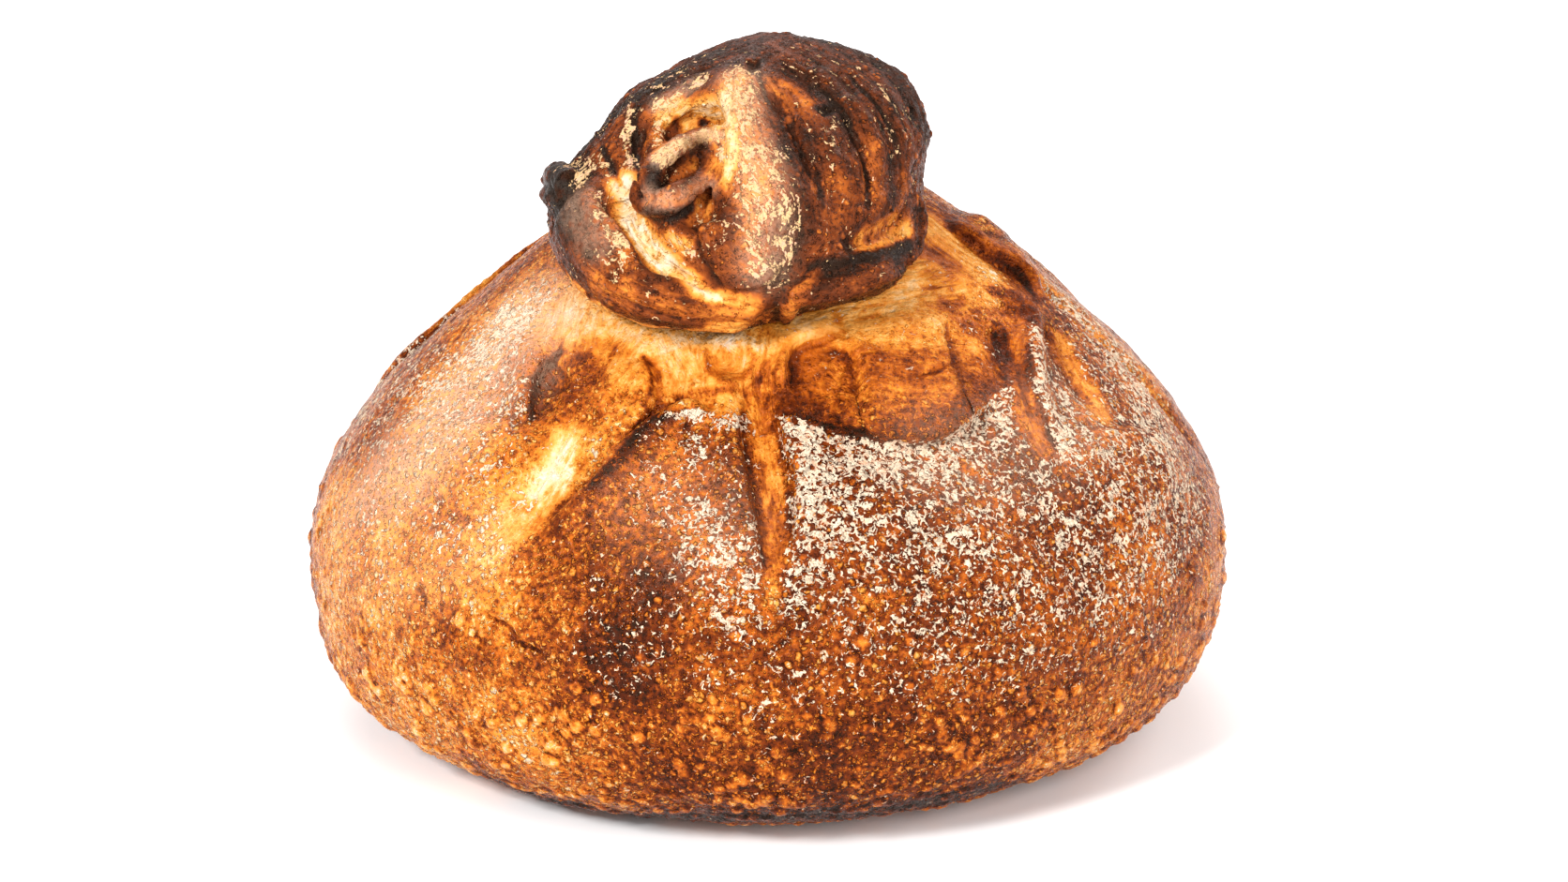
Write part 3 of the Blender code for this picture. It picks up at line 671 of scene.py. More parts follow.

# The same for the topknot, and how grey its char is. Its bake table also paints shade into a few folds,
# creases and a hole, as marked below.
KNOT_BAKE_AND_SHADE = [
    ("-63,77 -53,89 -42,99 -26,109 -4,114 14,113", 6, 0.92),
    ("6,110 25,97 31,78 23,59", 24, 0.72),
    ("17,113 33,105 40,91", 5, 0.84),
    # the slices on the right: charred crests, and browner valleys
    ("17,93 20,83 21,73", 3.8, 0.74),
    ("9,86 10,75 12,66", 3.8, 0.7),
    ("24,86 26,77 25,67", 3.6, 0.61),
    ("31,81 31,71 29,65", 1.4, 0.86),
    ("35,75 33,67 28,62", 3.6, 0.66),
    ("-4,102 2,99 8,96", 5, 0.48),
    # painted shade in a short fold between the slices
    ("10,95 13,95", 2, 0.95),
    ("12,71 14,61 12,54", 6, 0.58),
    # the main ridge
    ("-14,105 -12,97 -10,86 -8,75 -10,65", 6, 0.4),
    (RIDGE_SIDE, 2.8, 0.1),
    ("-12,62 -10,52", 6, 0.44),
    ("1,83 4,75 6,67 4,58 -2,49", 3.4, 0.76),
    ("-19,69 -18,62 -16,55", 4.2, 0.64),
    ("-9,105 -6,109", 1.2, 0.9),
    # the sheets on the left, with the creases between them
    ("-46,94 -47,85 -45,75", 4, 0.6),
    ("-39,94 -40,83 -42,75", 3, 0.56),
    ("-34,97 -36,90 -36,84", 2, 0.44),
    ("-51,82 -49,74 -46,65", 3, 0.56),
    # painted shade in the creases between the sheets
    ("-43,95 -43,86 -42,76", 0.9, 0.98),
    ("-52,84 -49,77 -47,71", 0.9, 0.98),
    ("-27,102 -32,98 -36,96", 2.4, 0.8),
    # the charred knob and the band that runs from it
    ("-67,74 -63,69 -63,64", 5, 0.86),
    ("-62,61 -57,54 -50,48", 5, 0.68),
    ("-55,71 -50,62 -46,54 -43,48", 2.4, 0.56),
    ("-56,54", 1.2, 1),
    ("-53,46 -39,40 -23,36 -8,34", 5, 0.45),
    ("-61,46 -49,36 -31,32 -12,32", 2.4, 0.28),
    # the pale trough and the fold beside it
    ("-24,45 -16,42 -10,40", 4, 0.26),
    ("-46,74 -44,64 -39,56 -30,48 -21,44", 4.4, -0.08),
    ("-33,58 -28,55 -24,52", 2.6, 0.26),
    ("-25,52 -19,46 -10,44 3,45", 3, 0.64),
    # the hollow behind the curl
    ("-31,94 -26,92 -20,95 -17,92", 5.4, 0.1),
    # painted shade on the left side of the hollow, and in the small hole in it
    ("-31,92 -31,89", 1.4, 0.56),
    ("-23,91", 1.3, 0.84),
    ("-23,69 -25,63", 3, 0.3),
    # the curl
    ("-18,88 -18,82 -21,75", 2.8, 0.3),
    ("-26,79 -31,75", 3.2, 0.5),
    (CURL_TOP, 2.2, 0.3),
    ("-31,81 -35,78", 2.4, 0.56),
    ("-22,73 -31,69 -39,69", 2.8, 0.46),
    ("-27,67 -33,65 -39,66", 1.6, 0.86),
    ("-37,78 -37,74", 2.6, 0.94),
    # the pale pocket low on the right, its dark rim and the flap below
    ("22,56 28,58 35,61", 3.4, 0.2),
    ("24,59 31,63", 3, 0.42),
    ("9,49 16,51 24,53 31,54 36,56", 1.9, 1),
    ("4,41 14,44 25,47 32,50", 4, 0.68),
    ("3,43 6,45 10,48", 1.8, 0.5),
    ("2,39 1,35", 2.6, 0.44),
    # the dark edges of the slices on the right
    ("-8,106 -5,99 -1,91 3,83 7,76", 1, 0.88),
    ("10,99 15,95 19,86 23,77 24,67", 0.9, 0.84),
    ("18,105 24,99 30,91 33,82 32,74 31,66", 0.9, 0.84),
    ("6,89 8,81 10,73 11,67", 0.9, 0.8),
    ("30,182 90,180 150,176 170,168", 26, 0.84, around),
]
KNOT_FLOUR = [
    ("-53,89 -42,99 -26,109", 6, 0.36),
    ("6,110 25,102 36,89", 7, 0.34),
    ("-13,106 -13,98 -11,87 -8,77 -8,69", 6, 0.74),
    ("-5,85 0,73 0,59 -4,48", 5, 0.6),
    ("-10,63 -8,50", 3, 0.74),
    (RIDGE_SIDE, 2, 0),
    ("-36,96 -30,100 -23,104", 2.6, 0.72),
    ("-44,94 -45,86 -43,79", 2, 0.66),
    ("-35,95 -36,86", 2, 0.72),
    ("-53,82 -50,75", 2, 0.6),
    ("-53,66 -49,59 -46,52", 2.8, 0.8),
    ("-62,79 -56,80 -59,73", 3, 0.7),
    ("-54,71 -50,63", 2, 0.56),
    ("-53,54 -49,50", 2.6, 0.52),
    ("-32,58 -27,54", 2.6, 0.5),
    ("-20,66 -19,56", 4, 0.44),
    ("13,91 14,78", 1.8, 0.5),
    ("7,90 12,90", 1.8, 0.5),
    ("19,103 25,95 29,87", 7, 0.3),
    (CURL_TOP + " -31,82", 2.4, 0.95),
    ("-18,87 -18,81", 2, 0.66),
]
KNOT_FILM = [
    ("-60,69 -57,63 -54,57", 6, 0.26),
    ("-12,105 -10,86 -6,73 -6,51", 7, 0.35),
    ("-36,96 -26,102", 3, 0.3),
    (CURL_TOP, 2.6, 0.6),
    ("-22,73 -31,69 -39,70", 3, 0.35),
]
KNOT_TORN = [
    ("-46,74 -39,56 -18,43 -6,39", 6, 0.9),
    ("-31,94 -24,78 -26,63", 6, 0.9),
    ("-53,46 -39,39 -23,36 -7,35", 6, 0.8),
    ("-62,61 -57,54 -50,48", 6, 0.7),
    ("-4,102 2,99 8,96", 5, 0.9),
    ("-12,97 -10,81 -10,62", 5, 0.6),
]
KNOT_ASH = [
    ("-53,89 -42,99 -26,109 -10,114", 6, 0.2),
    ("-67,75 -64,69 -62,64", 6, 0.95),
    ("17,113 33,105 40,91", 6, 0.3),
    ("-37,78 -37,74", 2.6, 0.8),
    ("-27,67 -33,64 -39,66", 1.8, 0.6),
    ("0,83 4,75", 4, 0.3),
    ("60,190 120,186", 14, 0.4, around),
]

# Lines along which the topknot's dough was stretched
KNOT_GRAIN = [
    "-64,71 -60,58 -52,48 -39,40 -23,36 -6,34",
    "-45,73 -41,59 -33,51 -20,44 -8,39",
    "-33,59 -29,53 -23,48 -14,44 -5,42 5,45 12,53",
    "-12,109 -14,100 -12,89 -6,78 1,69 1,56",
    "-18,94 -17,81 -22,66 -19,55 -12,48",
    "-9,107 -3,98 2,89 6,81 9,74 10,66",
    "-6,111 5,105 13,99 19,89 23,80 24,72 20,62",
    "6,112 20,104 29,92 32,83 31,73 29,64",
    "17,113 31,105 37,95 40,83 38,73",
    "-12,111 -28,106 -39,99 -49,87 -57,78",
    "-26,102 -36,93 -41,82 -42,71",
    "2,41 13,44 24,47 34,51",
]

# What the skins are painted with, channel by channel: the value all over, and the dabs on it
BODY_PAINTS = {
    "bake": (0.55, BODY_BAKE_AND_SHADE),
    "flour": (0.05, BODY_FLOUR),
    "film": (0, BODY_FILM),
    "torn": (0, BODY_TORN),
    "ash": (0, []),
}
KNOT_PAINTS = {
    "bake": (0.70, KNOT_BAKE_AND_SHADE),
    "flour": (0.12, KNOT_FLOUR),
    "film": (0, KNOT_FILM),
    "torn": (0.45, KNOT_TORN),
    "ash": (0.1, KNOT_ASH),
}

# Lumps in the skins: (height and size in millimetres, seed), and strings along the grain of torn dough:
# waves a millimetre along and across, seed, octaves
BODY_LUMPS = [(0.55, 26, 1), (0.26, 7, 2), (0.16, 3, 3)]
KNOT_LUMPS = [(0.34, 7, 7)]
BODY_STRINGS, BODY_STRING_HEIGHT, TORN_FLATTER = (0.12, 0.55, 4, 3), 0.5, 0.5
KNOT_STRINGS, KNOT_STRING_HEIGHT = (0.10, 0.62, 6, 4), 0.42
KNOT_CREASES, KNOT_CREASE_DEPTH = (0.05, 0.24, 8, 3), 0.70

# Blisters in the skins: how many are tried, least and greatest radius in millimetres, rise, seed
BODY_BLISTERS = (3200, (1.0, 2.6), 0.42, 5)
KNOT_BLISTERS = (500, (0.7, 1.6), 0.4, 9)
BLISTER_STRETCH = 1.5
CHARRED = 0.6

# The body is smooth at its foot, and its blisters thin out upwards and on torn dough
FOOT_SMOOTH = 6 * MM
BLISTER_FADE, BLISTER_TOP = 75 * MM, 1.15
BLISTER_LEAST, BLISTER_TORN = 0.004, 0.97
PEBBLES_LEAST, KNOT_PEBBLES = 0.4, 0.2
FLOOR_GAP = 0.4 * MM

# How often the skin is averaged to find its crests, and the fused topknot to soften it
BODY_CREST_ROUNDS, KNOT_CREST_ROUNDS, SOFTEN_ROUNDS = 6, 10, 3

# Grain lines: millimetres between one line's coordinates and the next's, and the blend between two lines
GRAIN_APART = 40
GRAIN_BLEND, GRAIN_SEAM = 3 * MM, 0.4


def dab(channel, points, normals, tree, marks, width, value, place=on_face, side=0):
    """Paints a value along a path on the skin, with soft edges. A side of 1 keeps it to the left of the
    path, as seen from outside, and -1 to the right. The width is in millimetres."""
    path = laid(tree, marks, place, PAINT_STEPS)
    width = width * MM
    near = near_path(points, path, PAINT_REACH * width)
    away, _, offset, tangent = nearest_on(path, points[near])
    share = np.exp(-((away / width) ** 2) ** 1.5)
    if side:
        left = (np.cross(normals[near], tangent) * offset).sum(1)
        share *= 0.5 + 0.5 * np.tanh(side * left / PAINT_EDGE)
    channel[near] += share * (value - channel[near])


def painted(clay, paints, grain_lines):
    """The skin's channels by name: each paint's dabs in turn, and the grain of the dough."""
    tree, normals = clay.tree(), clay.normals()
    channels = {}
    for name, (start, dabs) in paints.items():
        channels[name] = np.full(len(clay.points), float(start))
        for settings in dabs:
            dab(channels[name], clay.points, normals, tree, *settings)
    channels["grain"], channels["sure"] = path_grain(clay.points, normals, tree, grain_lines)
    return channels


def path_grain(points, normals, tree, lines):
    """Coordinates along and across the nearest of some lines on the skin, in millimetres, and how clearly
    that line is the nearest, from 0 where two are as near to 1."""
    best = np.full(len(points), np.inf)
    second = np.full(len(points), np.inf)
    grain = np.zeros((len(points), 3))
    for number, line in enumerate(lines):
        path = laid(tree, line, on_face, PAINT_STEPS)
        length = np.linalg.norm(np.diff(path, axis=0), axis=1).sum() / MM
        away, along, offset, tangent = nearest_on(path, points)
        ahead = along * length + (offset * tangent).sum(1) / MM
        across = (offset * np.cross(normals, tangent)).sum(1) / MM
        nearer = away < best
        second = np.where(nearer, best, np.minimum(second, away))
        best[nearer] = away[nearer]
        place = np.stack([ahead, across + GRAIN_APART * number, np.full(len(points), number)], axis=1)
        grain[nearer] = place[nearer]
    return grain, np.clip((second - best) / GRAIN_BLEND - GRAIN_SEAM, 0, 1)


def focused(directions, towards, share):
    """Directions drawn in towards one of them, so that the mesh is finest there."""
    towards = towards / np.linalg.norm(towards)
    level = directions @ towards
    side = directions - level[:, None] * towards
    side /= np.maximum(np.linalg.norm(side, axis=1, keepdims=True), 1e-9)
    half = share * np.tan(np.minimum(np.arccos(np.clip(level, -1, 1)), math.pi - 1e-6) / 2)
    return ((1 - half**2) / (1 + half**2))[:, None] * towards + (2 * half / (1 + half**2))[:, None] * side


def rough(points, size, seed, octaves=3):
    """Fractal noise about 0, with lumps of a size in millimetres."""
    scale, offset = 1 / (size * MM), Vector((seed * 17.3, seed * 5.1, seed * 9.7))
    return np.array([noise.fractal(Vector(p) * scale + offset, 0.6, 2.0, octaves) for p in points])


def lumpy(points, lumps):
    """The height of lumps of several sizes, in millimetres."""
    return sum(height * rough(points, size, seed) for height, size, seed in lumps)


def along_grain(channels, along, across, seed, octaves):
    """Noise drawn out along the grain, in waves a millimetre along and across, none where lines meet."""
    return rough(channels["grain"] * MM * (along, across, 1), 1, seed, octaves) * channels["sure"]


def blisters(clay, normals, chance, tries, sizes, height, seed):
    """Small domes of baked skin where the chance allows, none over another.
    Gives back how far up a dome each point is."""
    rng = np.random.default_rng(seed)
    tree = kdtree.KDTree(len(clay.points))
    for index, point in enumerate(clay.points):
        tree.insert(point, index)
    tree.balance()
    likely = clay.areas() * np.clip(chance, 0, None)
    centres = rng.choice(len(clay.points), tries, replace=False, p=likely / likely.sum())
    radii = np.sort(rng.uniform(0, 1, tries) ** 3)[::-1] * (sizes[1] - sizes[0]) + sizes[0]
    dome = np.zeros(len(clay.points))
    lift = np.zeros(len(clay.points))
    for centre, radius in zip(centres, radii * MM):
        if dome[centre]:
            continue
        stretch = rng.uniform(1.0, BLISTER_STRETCH)
        across = Vector(rng.normal(size=3)).normalized()
        middle = Vector(clay.points[centre])
        for place, index, away in tree.find_range(middle, radius):
            along = abs((place - middle).dot(across))
            away = math.sqrt(away * away + (stretch * stretch - 1) * along * along) / radius
            if away < 1:
                rise = math.sqrt(1 - away * away)
                dome[index] = max(dome[index], rise)
                lift[index] = max(lift[index], rise * radius * height)
    clay.points += normals * lift[:, None]
    return dome


def set_channels(clay, channels):
    """Stores channels on the mesh's points: a number each, or three."""
    for name, values in channels.items():
        kind, field = ("FLOAT_VECTOR", "vector") if values.ndim == 2 else ("FLOAT", "value")
        layer = clay.mesh.attributes.new(name, kind, "POINT")
        layer.data.foreach_set(field, values.astype(np.float32).ravel())


def crest_of(clay, rounds):
    """How far each point stands over the skin round it, in millimetres. The skin round it is the mean over
    the mesh's edges, taken round after round."""
    edges = np.empty(len(clay.mesh.edges) * 2, np.int32)
    clay.mesh.edges.foreach_get("vertices", edges)
    a, b = edges.reshape(-1, 2).T
    size = len(clay.points)
    count = np.maximum(np.bincount(np.concatenate([a, b]), minlength=size), 1)
    mean = clay.points
    for _ in range(rounds):
        total = [np.bincount(a, mean[b, i], size) + np.bincount(b, mean[a, i], size) for i in range(3)]
        mean = np.stack(total, axis=1) / count[:, None]
    return ((clay.points - mean) * clay.normals()).sum(1) / MM


def make_body():
    """The body's skin."""
    body = ball("body_crust", BODY_CUTS)
    clay = Clay(body)
    clay.points = turned_body(focused(clay.points, FOCUS_DIRECTION, BODY_FOCUS))
    for strokes in (BODY_FORMS, BODY_FOLDS, BODY_WRINKLES):
        clay.press(strokes)
    normals = clay.normals()
    channels = painted(clay, BODY_PAINTS, BODY_GRAIN)
    torn = channels["torn"]
    strings = BODY_STRING_HEIGHT * along_grain(channels, *BODY_STRINGS)
    foot = np.clip(clay.points[:, 2] / FOOT_SMOOTH, 0, 1)
    lumps = lumpy(clay.points, BODY_LUMPS) * (1 - TORN_FLATTER * torn) + strings * torn
    clay.points += normals * (lumps * foot * MM)[:, None]
    low = np.clip(BLISTER_TOP - clay.points[:, 2] / BLISTER_FADE, 0, 1) + BLISTER_LEAST
    chance = low**2 * foot * (1 - BLISTER_TORN * torn)
    channels["blister"] = blisters(clay, normals, chance, *BODY_BLISTERS)
    channels["pebbly"] = np.clip(low, PEBBLES_LEAST, 1)
    clay.points[:, 2] = np.maximum(clay.points[:, 2], FLOOR_GAP)
    clay.set_points()
    channels["crest"] = crest_of(clay, BODY_CREST_ROUNDS)
    set_channels(clay, channels)
    return body


def keep_largest_shell(mesh):
    """Deletes the small closed pockets that fusing leaves inside."""
    bm = bmesh.new()
    bm.from_mesh(mesh)
    left = set(bm.verts)
    shells = []
    while left:
        front = [left.pop()]
        shell = list(front)
        while front:
            beside = {edge.other_vert(vertex) for vertex in front for edge in vertex.link_edges}
            front = list(beside & left)
            left.difference_update(front)
            shell += front
        shells.append(shell)
    shells.sort(key=len)
    pockets = [vertex for shell in shells[:-1] for vertex in shell]
    bmesh.ops.delete(bm, geom=pockets, context="VERTS")
    bm.to_mesh(mesh)
    bm.free()


def make_knot():
    """The topknot's skin: bun and ropes fused, then wrinkled."""
    rough_knot = joined(knot(KNOT_CUTS), "topknot")
    remesh = rough_knot.modifiers.new("fuse", "REMESH")
    remesh.mode = "VOXEL"
    remesh.voxel_size = KNOT_VOXEL
    soften = rough_knot.modifiers.new("soften", "SMOOTH")
    soften.iterations = SOFTEN_ROUNDS
    graph = bpy.context.evaluated_depsgraph_get()
    mesh = bpy.data.meshes.new_from_object(rough_knot.evaluated_get(graph))
    keep_largest_shell(mesh)
    bpy.data.objects.remove(rough_knot)
    made = add_object("topknot_crust", mesh)
    clay = Clay(made)
    clay.press(KNOT_WRINKLES)
    normals = clay.normals()
    channels = painted(clay, KNOT_PAINTS, KNOT_GRAIN)
    strings = along_grain(channels, *KNOT_STRINGS)
    creases = -np.abs(along_grain(channels, *KNOT_CREASES))
    lumps = lumpy(clay.points, KNOT_LUMPS) + KNOT_STRING_HEIGHT * strings + KNOT_CREASE_DEPTH * creases
    clay.points += normals * (lumps * MM)[:, None]
    chance = (1 - channels["torn"]) * (channels["bake"] > CHARRED)
    channels["blister"] = blisters(clay, normals, chance, *KNOT_BLISTERS)
    channels["pebbly"] = np.full(len(clay.points), KNOT_PEBBLES)
    clay.set_points()
    channels["crest"] = crest_of(clay, KNOT_CREST_ROUNDS)
    set_channels(clay, channels)
    return made


def srgb(red, green, blue):
    """A colour given as the photograph shows it, 0 to 255, as linear light."""
    values = [v / 255 for v in (red, green, blue)]
    return (*(v / 12.92 if v <= 0.04045 else ((v + 0.055) / 1.055) ** 2.4 for v in values), 1)


class Value:
    """What a node gives. Adding to it, taking away or multiplying makes a math node."""

    def __init__(self, graph, socket):
        self.graph = graph
        self.socket = socket

    def __add__(self, other):
        return self.graph.math("ADD", self, other)

    def __sub__(self, other):
        return self.graph.math("SUBTRACT", self, other)

    def __rsub__(self, other):
        return self.graph.math("SUBTRACT", other, self)

    def __mul__(self, other):
        return self.graph.math("MULTIPLY", self, other)


class Graph:
    """A material's node tree, written as calls that give the value they make."""

    def __init__(self, name):
        self.material = bpy.data.materials.new(name)
        self.material.use_nodes = True
        self.tree = self.material.node_tree
        self.shader = self.tree.nodes["Principled BSDF"]

    def node(self, kind, inputs=(), **settings):
        made = self.tree.nodes.new("ShaderNode" + kind)
        for name, value in settings.items():
            setattr(made, name, value)
        for name, value in dict(inputs).items():
            self.put(made.inputs[name], value)
        return made

    def put(self, socket, value):
        if isinstance(value, Value):
            self.tree.links.new(value.socket, socket)
        else:
            socket.default_value = value

    def shade(self, inputs):
        """Sets or links inputs of the shader."""
        for name, value in inputs.items():
            self.put(self.shader.inputs[name], value)

    def math(self, operation, *values):
        return Value(self, self.node("Math", enumerate(values), operation=operation).outputs[0])

    def vector_math(self, operation, *vectors):
        return Value(self, self.node("VectorMath", enumerate(vectors), operation=operation).outputs[0])

    def attribute(self, name, output="Fac"):
        return Value(self, self.node("Attribute", attribute_name=name).outputs[output])

    def noise(self, vector, scale, detail=2, roughness=0.5, distortion=0, output="Fac"):
        """Noise between 0 and 1, about 0.5."""
        inputs = {"Vector": vector, "Scale": scale, "Detail": detail, "Roughness": roughness,
                  "Distortion": distortion}
        return Value(self, self.node("TexNoise", inputs).outputs[output])

    def step(self, value, low, high, bottom=0.0, top=1.0):
        """Goes smoothly from one value to another while the value given rises from low to high."""
        inputs = {0: value, 1: low, 2: high, 3: bottom, 4: top}
        return Value(self, self.node("MapRange", inputs, interpolation_type="SMOOTHSTEP").outputs[0])

    def thin_lines(self, value, width):
        """1 where a noise crosses its middle value, falling to 0 a width away from it."""
        return self.step(self.math("ABSOLUTE", value - 0.5), 0.0, width, 1.0, 0.0)

    def mix(self, share, first, second):
        made = self.node("Mix", {"Factor": share}, data_type="RGBA")
        self.put(made.inputs[6], first)
        self.put(made.inputs[7], second)
        return Value(self, made.outputs[2])

    def ramp(self, value, stops):
        made = self.node("ValToRGB", {"Fac": value})
        elements = made.color_ramp.elements
        while len(elements) < len(stops):
            elements.new(1)
        for element, (place, colour) in zip(elements, stops):
            element.position = place
            element.color = colour
        return Value(self, made.outputs["Color"])

    def blister(self, vector, scale, share):
        """Domes in a share of the cells of a random pattern, 0 between them and 1 on top."""
        cells = self.node("TexVoronoi", {"Vector": vector, "Scale": scale, "Randomness": 1.0})
        pick = self.node("SeparateColor", {"Color": Value(self, cells.outputs["Color"])})
        radius = Value(self, pick.outputs[1]) * CELL_MORE + CELL_LEAST
        rise = 1.0 - self.math("DIVIDE", Value(self, cells.outputs["Distance"]), radius)
        there = self.math("LESS_THAN", Value(self, pick.outputs[0]), share)
        return self.step(rise, *CELL_SPAN) * there


# Patterns of the crust: waves a millimetre, detail, roughness, distortion. Strings and streaks run along
# the grain, scaled along and across it.
BROAD = (0.045, 4, 0.6)
MIDDLE = (0.17, 3, 0.6, 0.6)
FINE = (0.62, 2, 0.5)
SOOT = (0.35, 4, 0.7)
CRACK_LINES = (0.42, 2, 0.5, 1.6)
STRINGS = (1.0, 4, 0.6, 1.1)
STRING_SCALE = (0.16, 0.60, 1.0)
STREAKS = (1.0, 3, 0.55, 0.8)
STREAK_SCALE = (0.22, 0.85, 1.0)
FLAKES = (1.0, 2, 0.55, 1.0)
FLAKE_EDGES = (0.62, 2, 0.5, 1.4)
FLAKE_SCALE = 0.68
LINE_WIDTH = 0.035

# Where each pattern starts and where it is full, on the value that it is read from. Two more numbers say
# what it goes from and to, where that isn't 0 and 1.
FLAKE_SPAN, FLAKE_EDGE_SPAN = (0.59, 0.625), (0.48, 0.54)
CRACK_SPAN = (0.50, 0.62, 0.0, 0.7)
CELL_SPAN = (0.0, 0.8)
OFF_DOME_SPAN, DOME_TOP_SPAN = (0.0, 0.4, 1.0, 0.0), (0.3, 1.0)
RIM_SPAN, ABOVE_RIM_SPAN = (0.0, 0.12), (0.12, 0.45)
PEBBLE_TOP_SPAN = (0.1, 0.8)
CREASE_SHADE_SPAN = (-0.35, 0.0, 1.0, 0.0)
SOOT_SPAN = (0.35, 0.62)
DUST_SPAN, FLOURED_SPAN = (0.0, 0.035), (0.0, 0.08)
FILM_SPAN = (0.3, 0.62, 0.35, 1.0)
POWDER_SPAN = (0.30, 0.52)
ROUGH_SPAN = (0.3, 0.7, 0.20, 0.36)

# How far the pebbles' outlines are bent, and the three sizes of pebble: waves a millimetre, share of cells
BEND_SCALE, BEND_SIZE = 0.7, 1.7
PEBBLES = [(0.36, 0.70), (0.62, 0.85)]
GRIT_SCALE, GRIT_SHARE, GRIT_HEIGHT = 1.15, 0.5, 0.6
CELL_LEAST, CELL_MORE = 0.30, 0.26

# How much each pattern darkens the crust, in steps of bake. The crease darkening is painted shade, the
# darker rims round blisters partly painted shade, and the paling of pebbles, domes and flakes partly painted
# highlight.
BAKE_SHIFT = 0.06
CRACK_DARK, BROAD_DARK, MIDDLE_DARK, RIM_DARK_AND_SHADE, CREASE_SHADE = 0.22, 0.44, 0.45, 0.09, 0.16
PEBBLE_PALE_AND_HIGHLIGHT, DOME_PALE_AND_HIGHLIGHT, FLAKE_PALE_AND_GLINT = 0.30, 0.17, 0.22
PLAIN_FINE_DARK, FINE_DARK, TORN_STRING_DARK, STRING_DARK = 0.44, 0.20, 0.50, 0.10

# How streaky the flakes on the topknot are, and how strong the cracks on the body
STREAKY, STREAKY_LESS, BODY_CRACKS = 0.66, 0.16, 0.5

# How patchy the flour is, where it leaves the skin bare, how much it covers, and how rough it is
POWDER_PATCHY, BARE_START, BARE_FALL, DUST_COVER, DUST_ROUGH = 0.50, 0.728, -0.36, 0.9, 0.9

# How high each pattern stands, in a unit of relief
RELIEF_UNIT = 1.3 * MM
PEBBLE_RELIEF, FLAKE_RELIEF, FINE_RELIEF, DUST_RELIEF, CRACK_RELIEF = 1.1, 0.16, 0.6, 0.22, 0.4
TORN_STRING_RELIEF, STRING_RELIEF = 0.9, 0.2

# Colours of a thin film of flour, of soot and of the gloss
FILM_COLOUR = srgb(222, 172, 140)
SOOT_COLOUR = srgb(48, 42, 38)
GLOSS_TINT = (1, 0.8, 0.6, 1)

# The looks that differ between body and topknot. The colours go from pale crumb to burnt.
BAKE_STOPS = (0.00, 0.12, 0.26, 0.40, 0.54, 0.68, 0.82, 1.00)
BODY_LOOK = {
    "colours": [
        srgb(228, 202, 176), srgb(225, 184, 134), srgb(223, 154, 74), srgb(207, 122, 38),
        srgb(166, 80, 18), srgb(108, 43, 9), srgb(68, 23, 6), srgb(32, 17, 9),
    ],
    "powder_colour": srgb(229, 206, 178),
    "blistering": 1.0,
    "gloss_level": 0.10,
    "stretched": False,
}
KNOT_LOOK = {
    "colours": [
        srgb(231, 210, 180), srgb(228, 192, 142), srgb(224, 158, 76), srgb(206, 123, 44),
        srgb(160, 80, 28), srgb(104, 46, 18), srgb(62, 27, 12), srgb(34, 20, 13),
    ],
    "powder_colour": srgb(220, 178, 128),
    "blistering": 0.5,
    "gloss_level": 0.08,
    "stretched": True,
}


def pebbles(g, place, blistering):
    """Blisters too small for the mesh, 0 between them and 1 on top."""
    pebbly = g.attribute("pebbly")
    bent = g.noise(place, BEND_SCALE, 1, output="Color")
    bent = g.vector_math("MULTIPLY_ADD", bent, (BEND_SIZE,) * 3, place)
    coarse, small = (g.blister(bent, scale, pebbly * share) for scale, share in PEBBLES)
    grit = g.blister(bent, GRIT_SCALE, GRIT_SHARE * blistering) * GRIT_HEIGHT
    return g.math("MAXIMUM", g.math("MAXIMUM", coarse, small), grit)


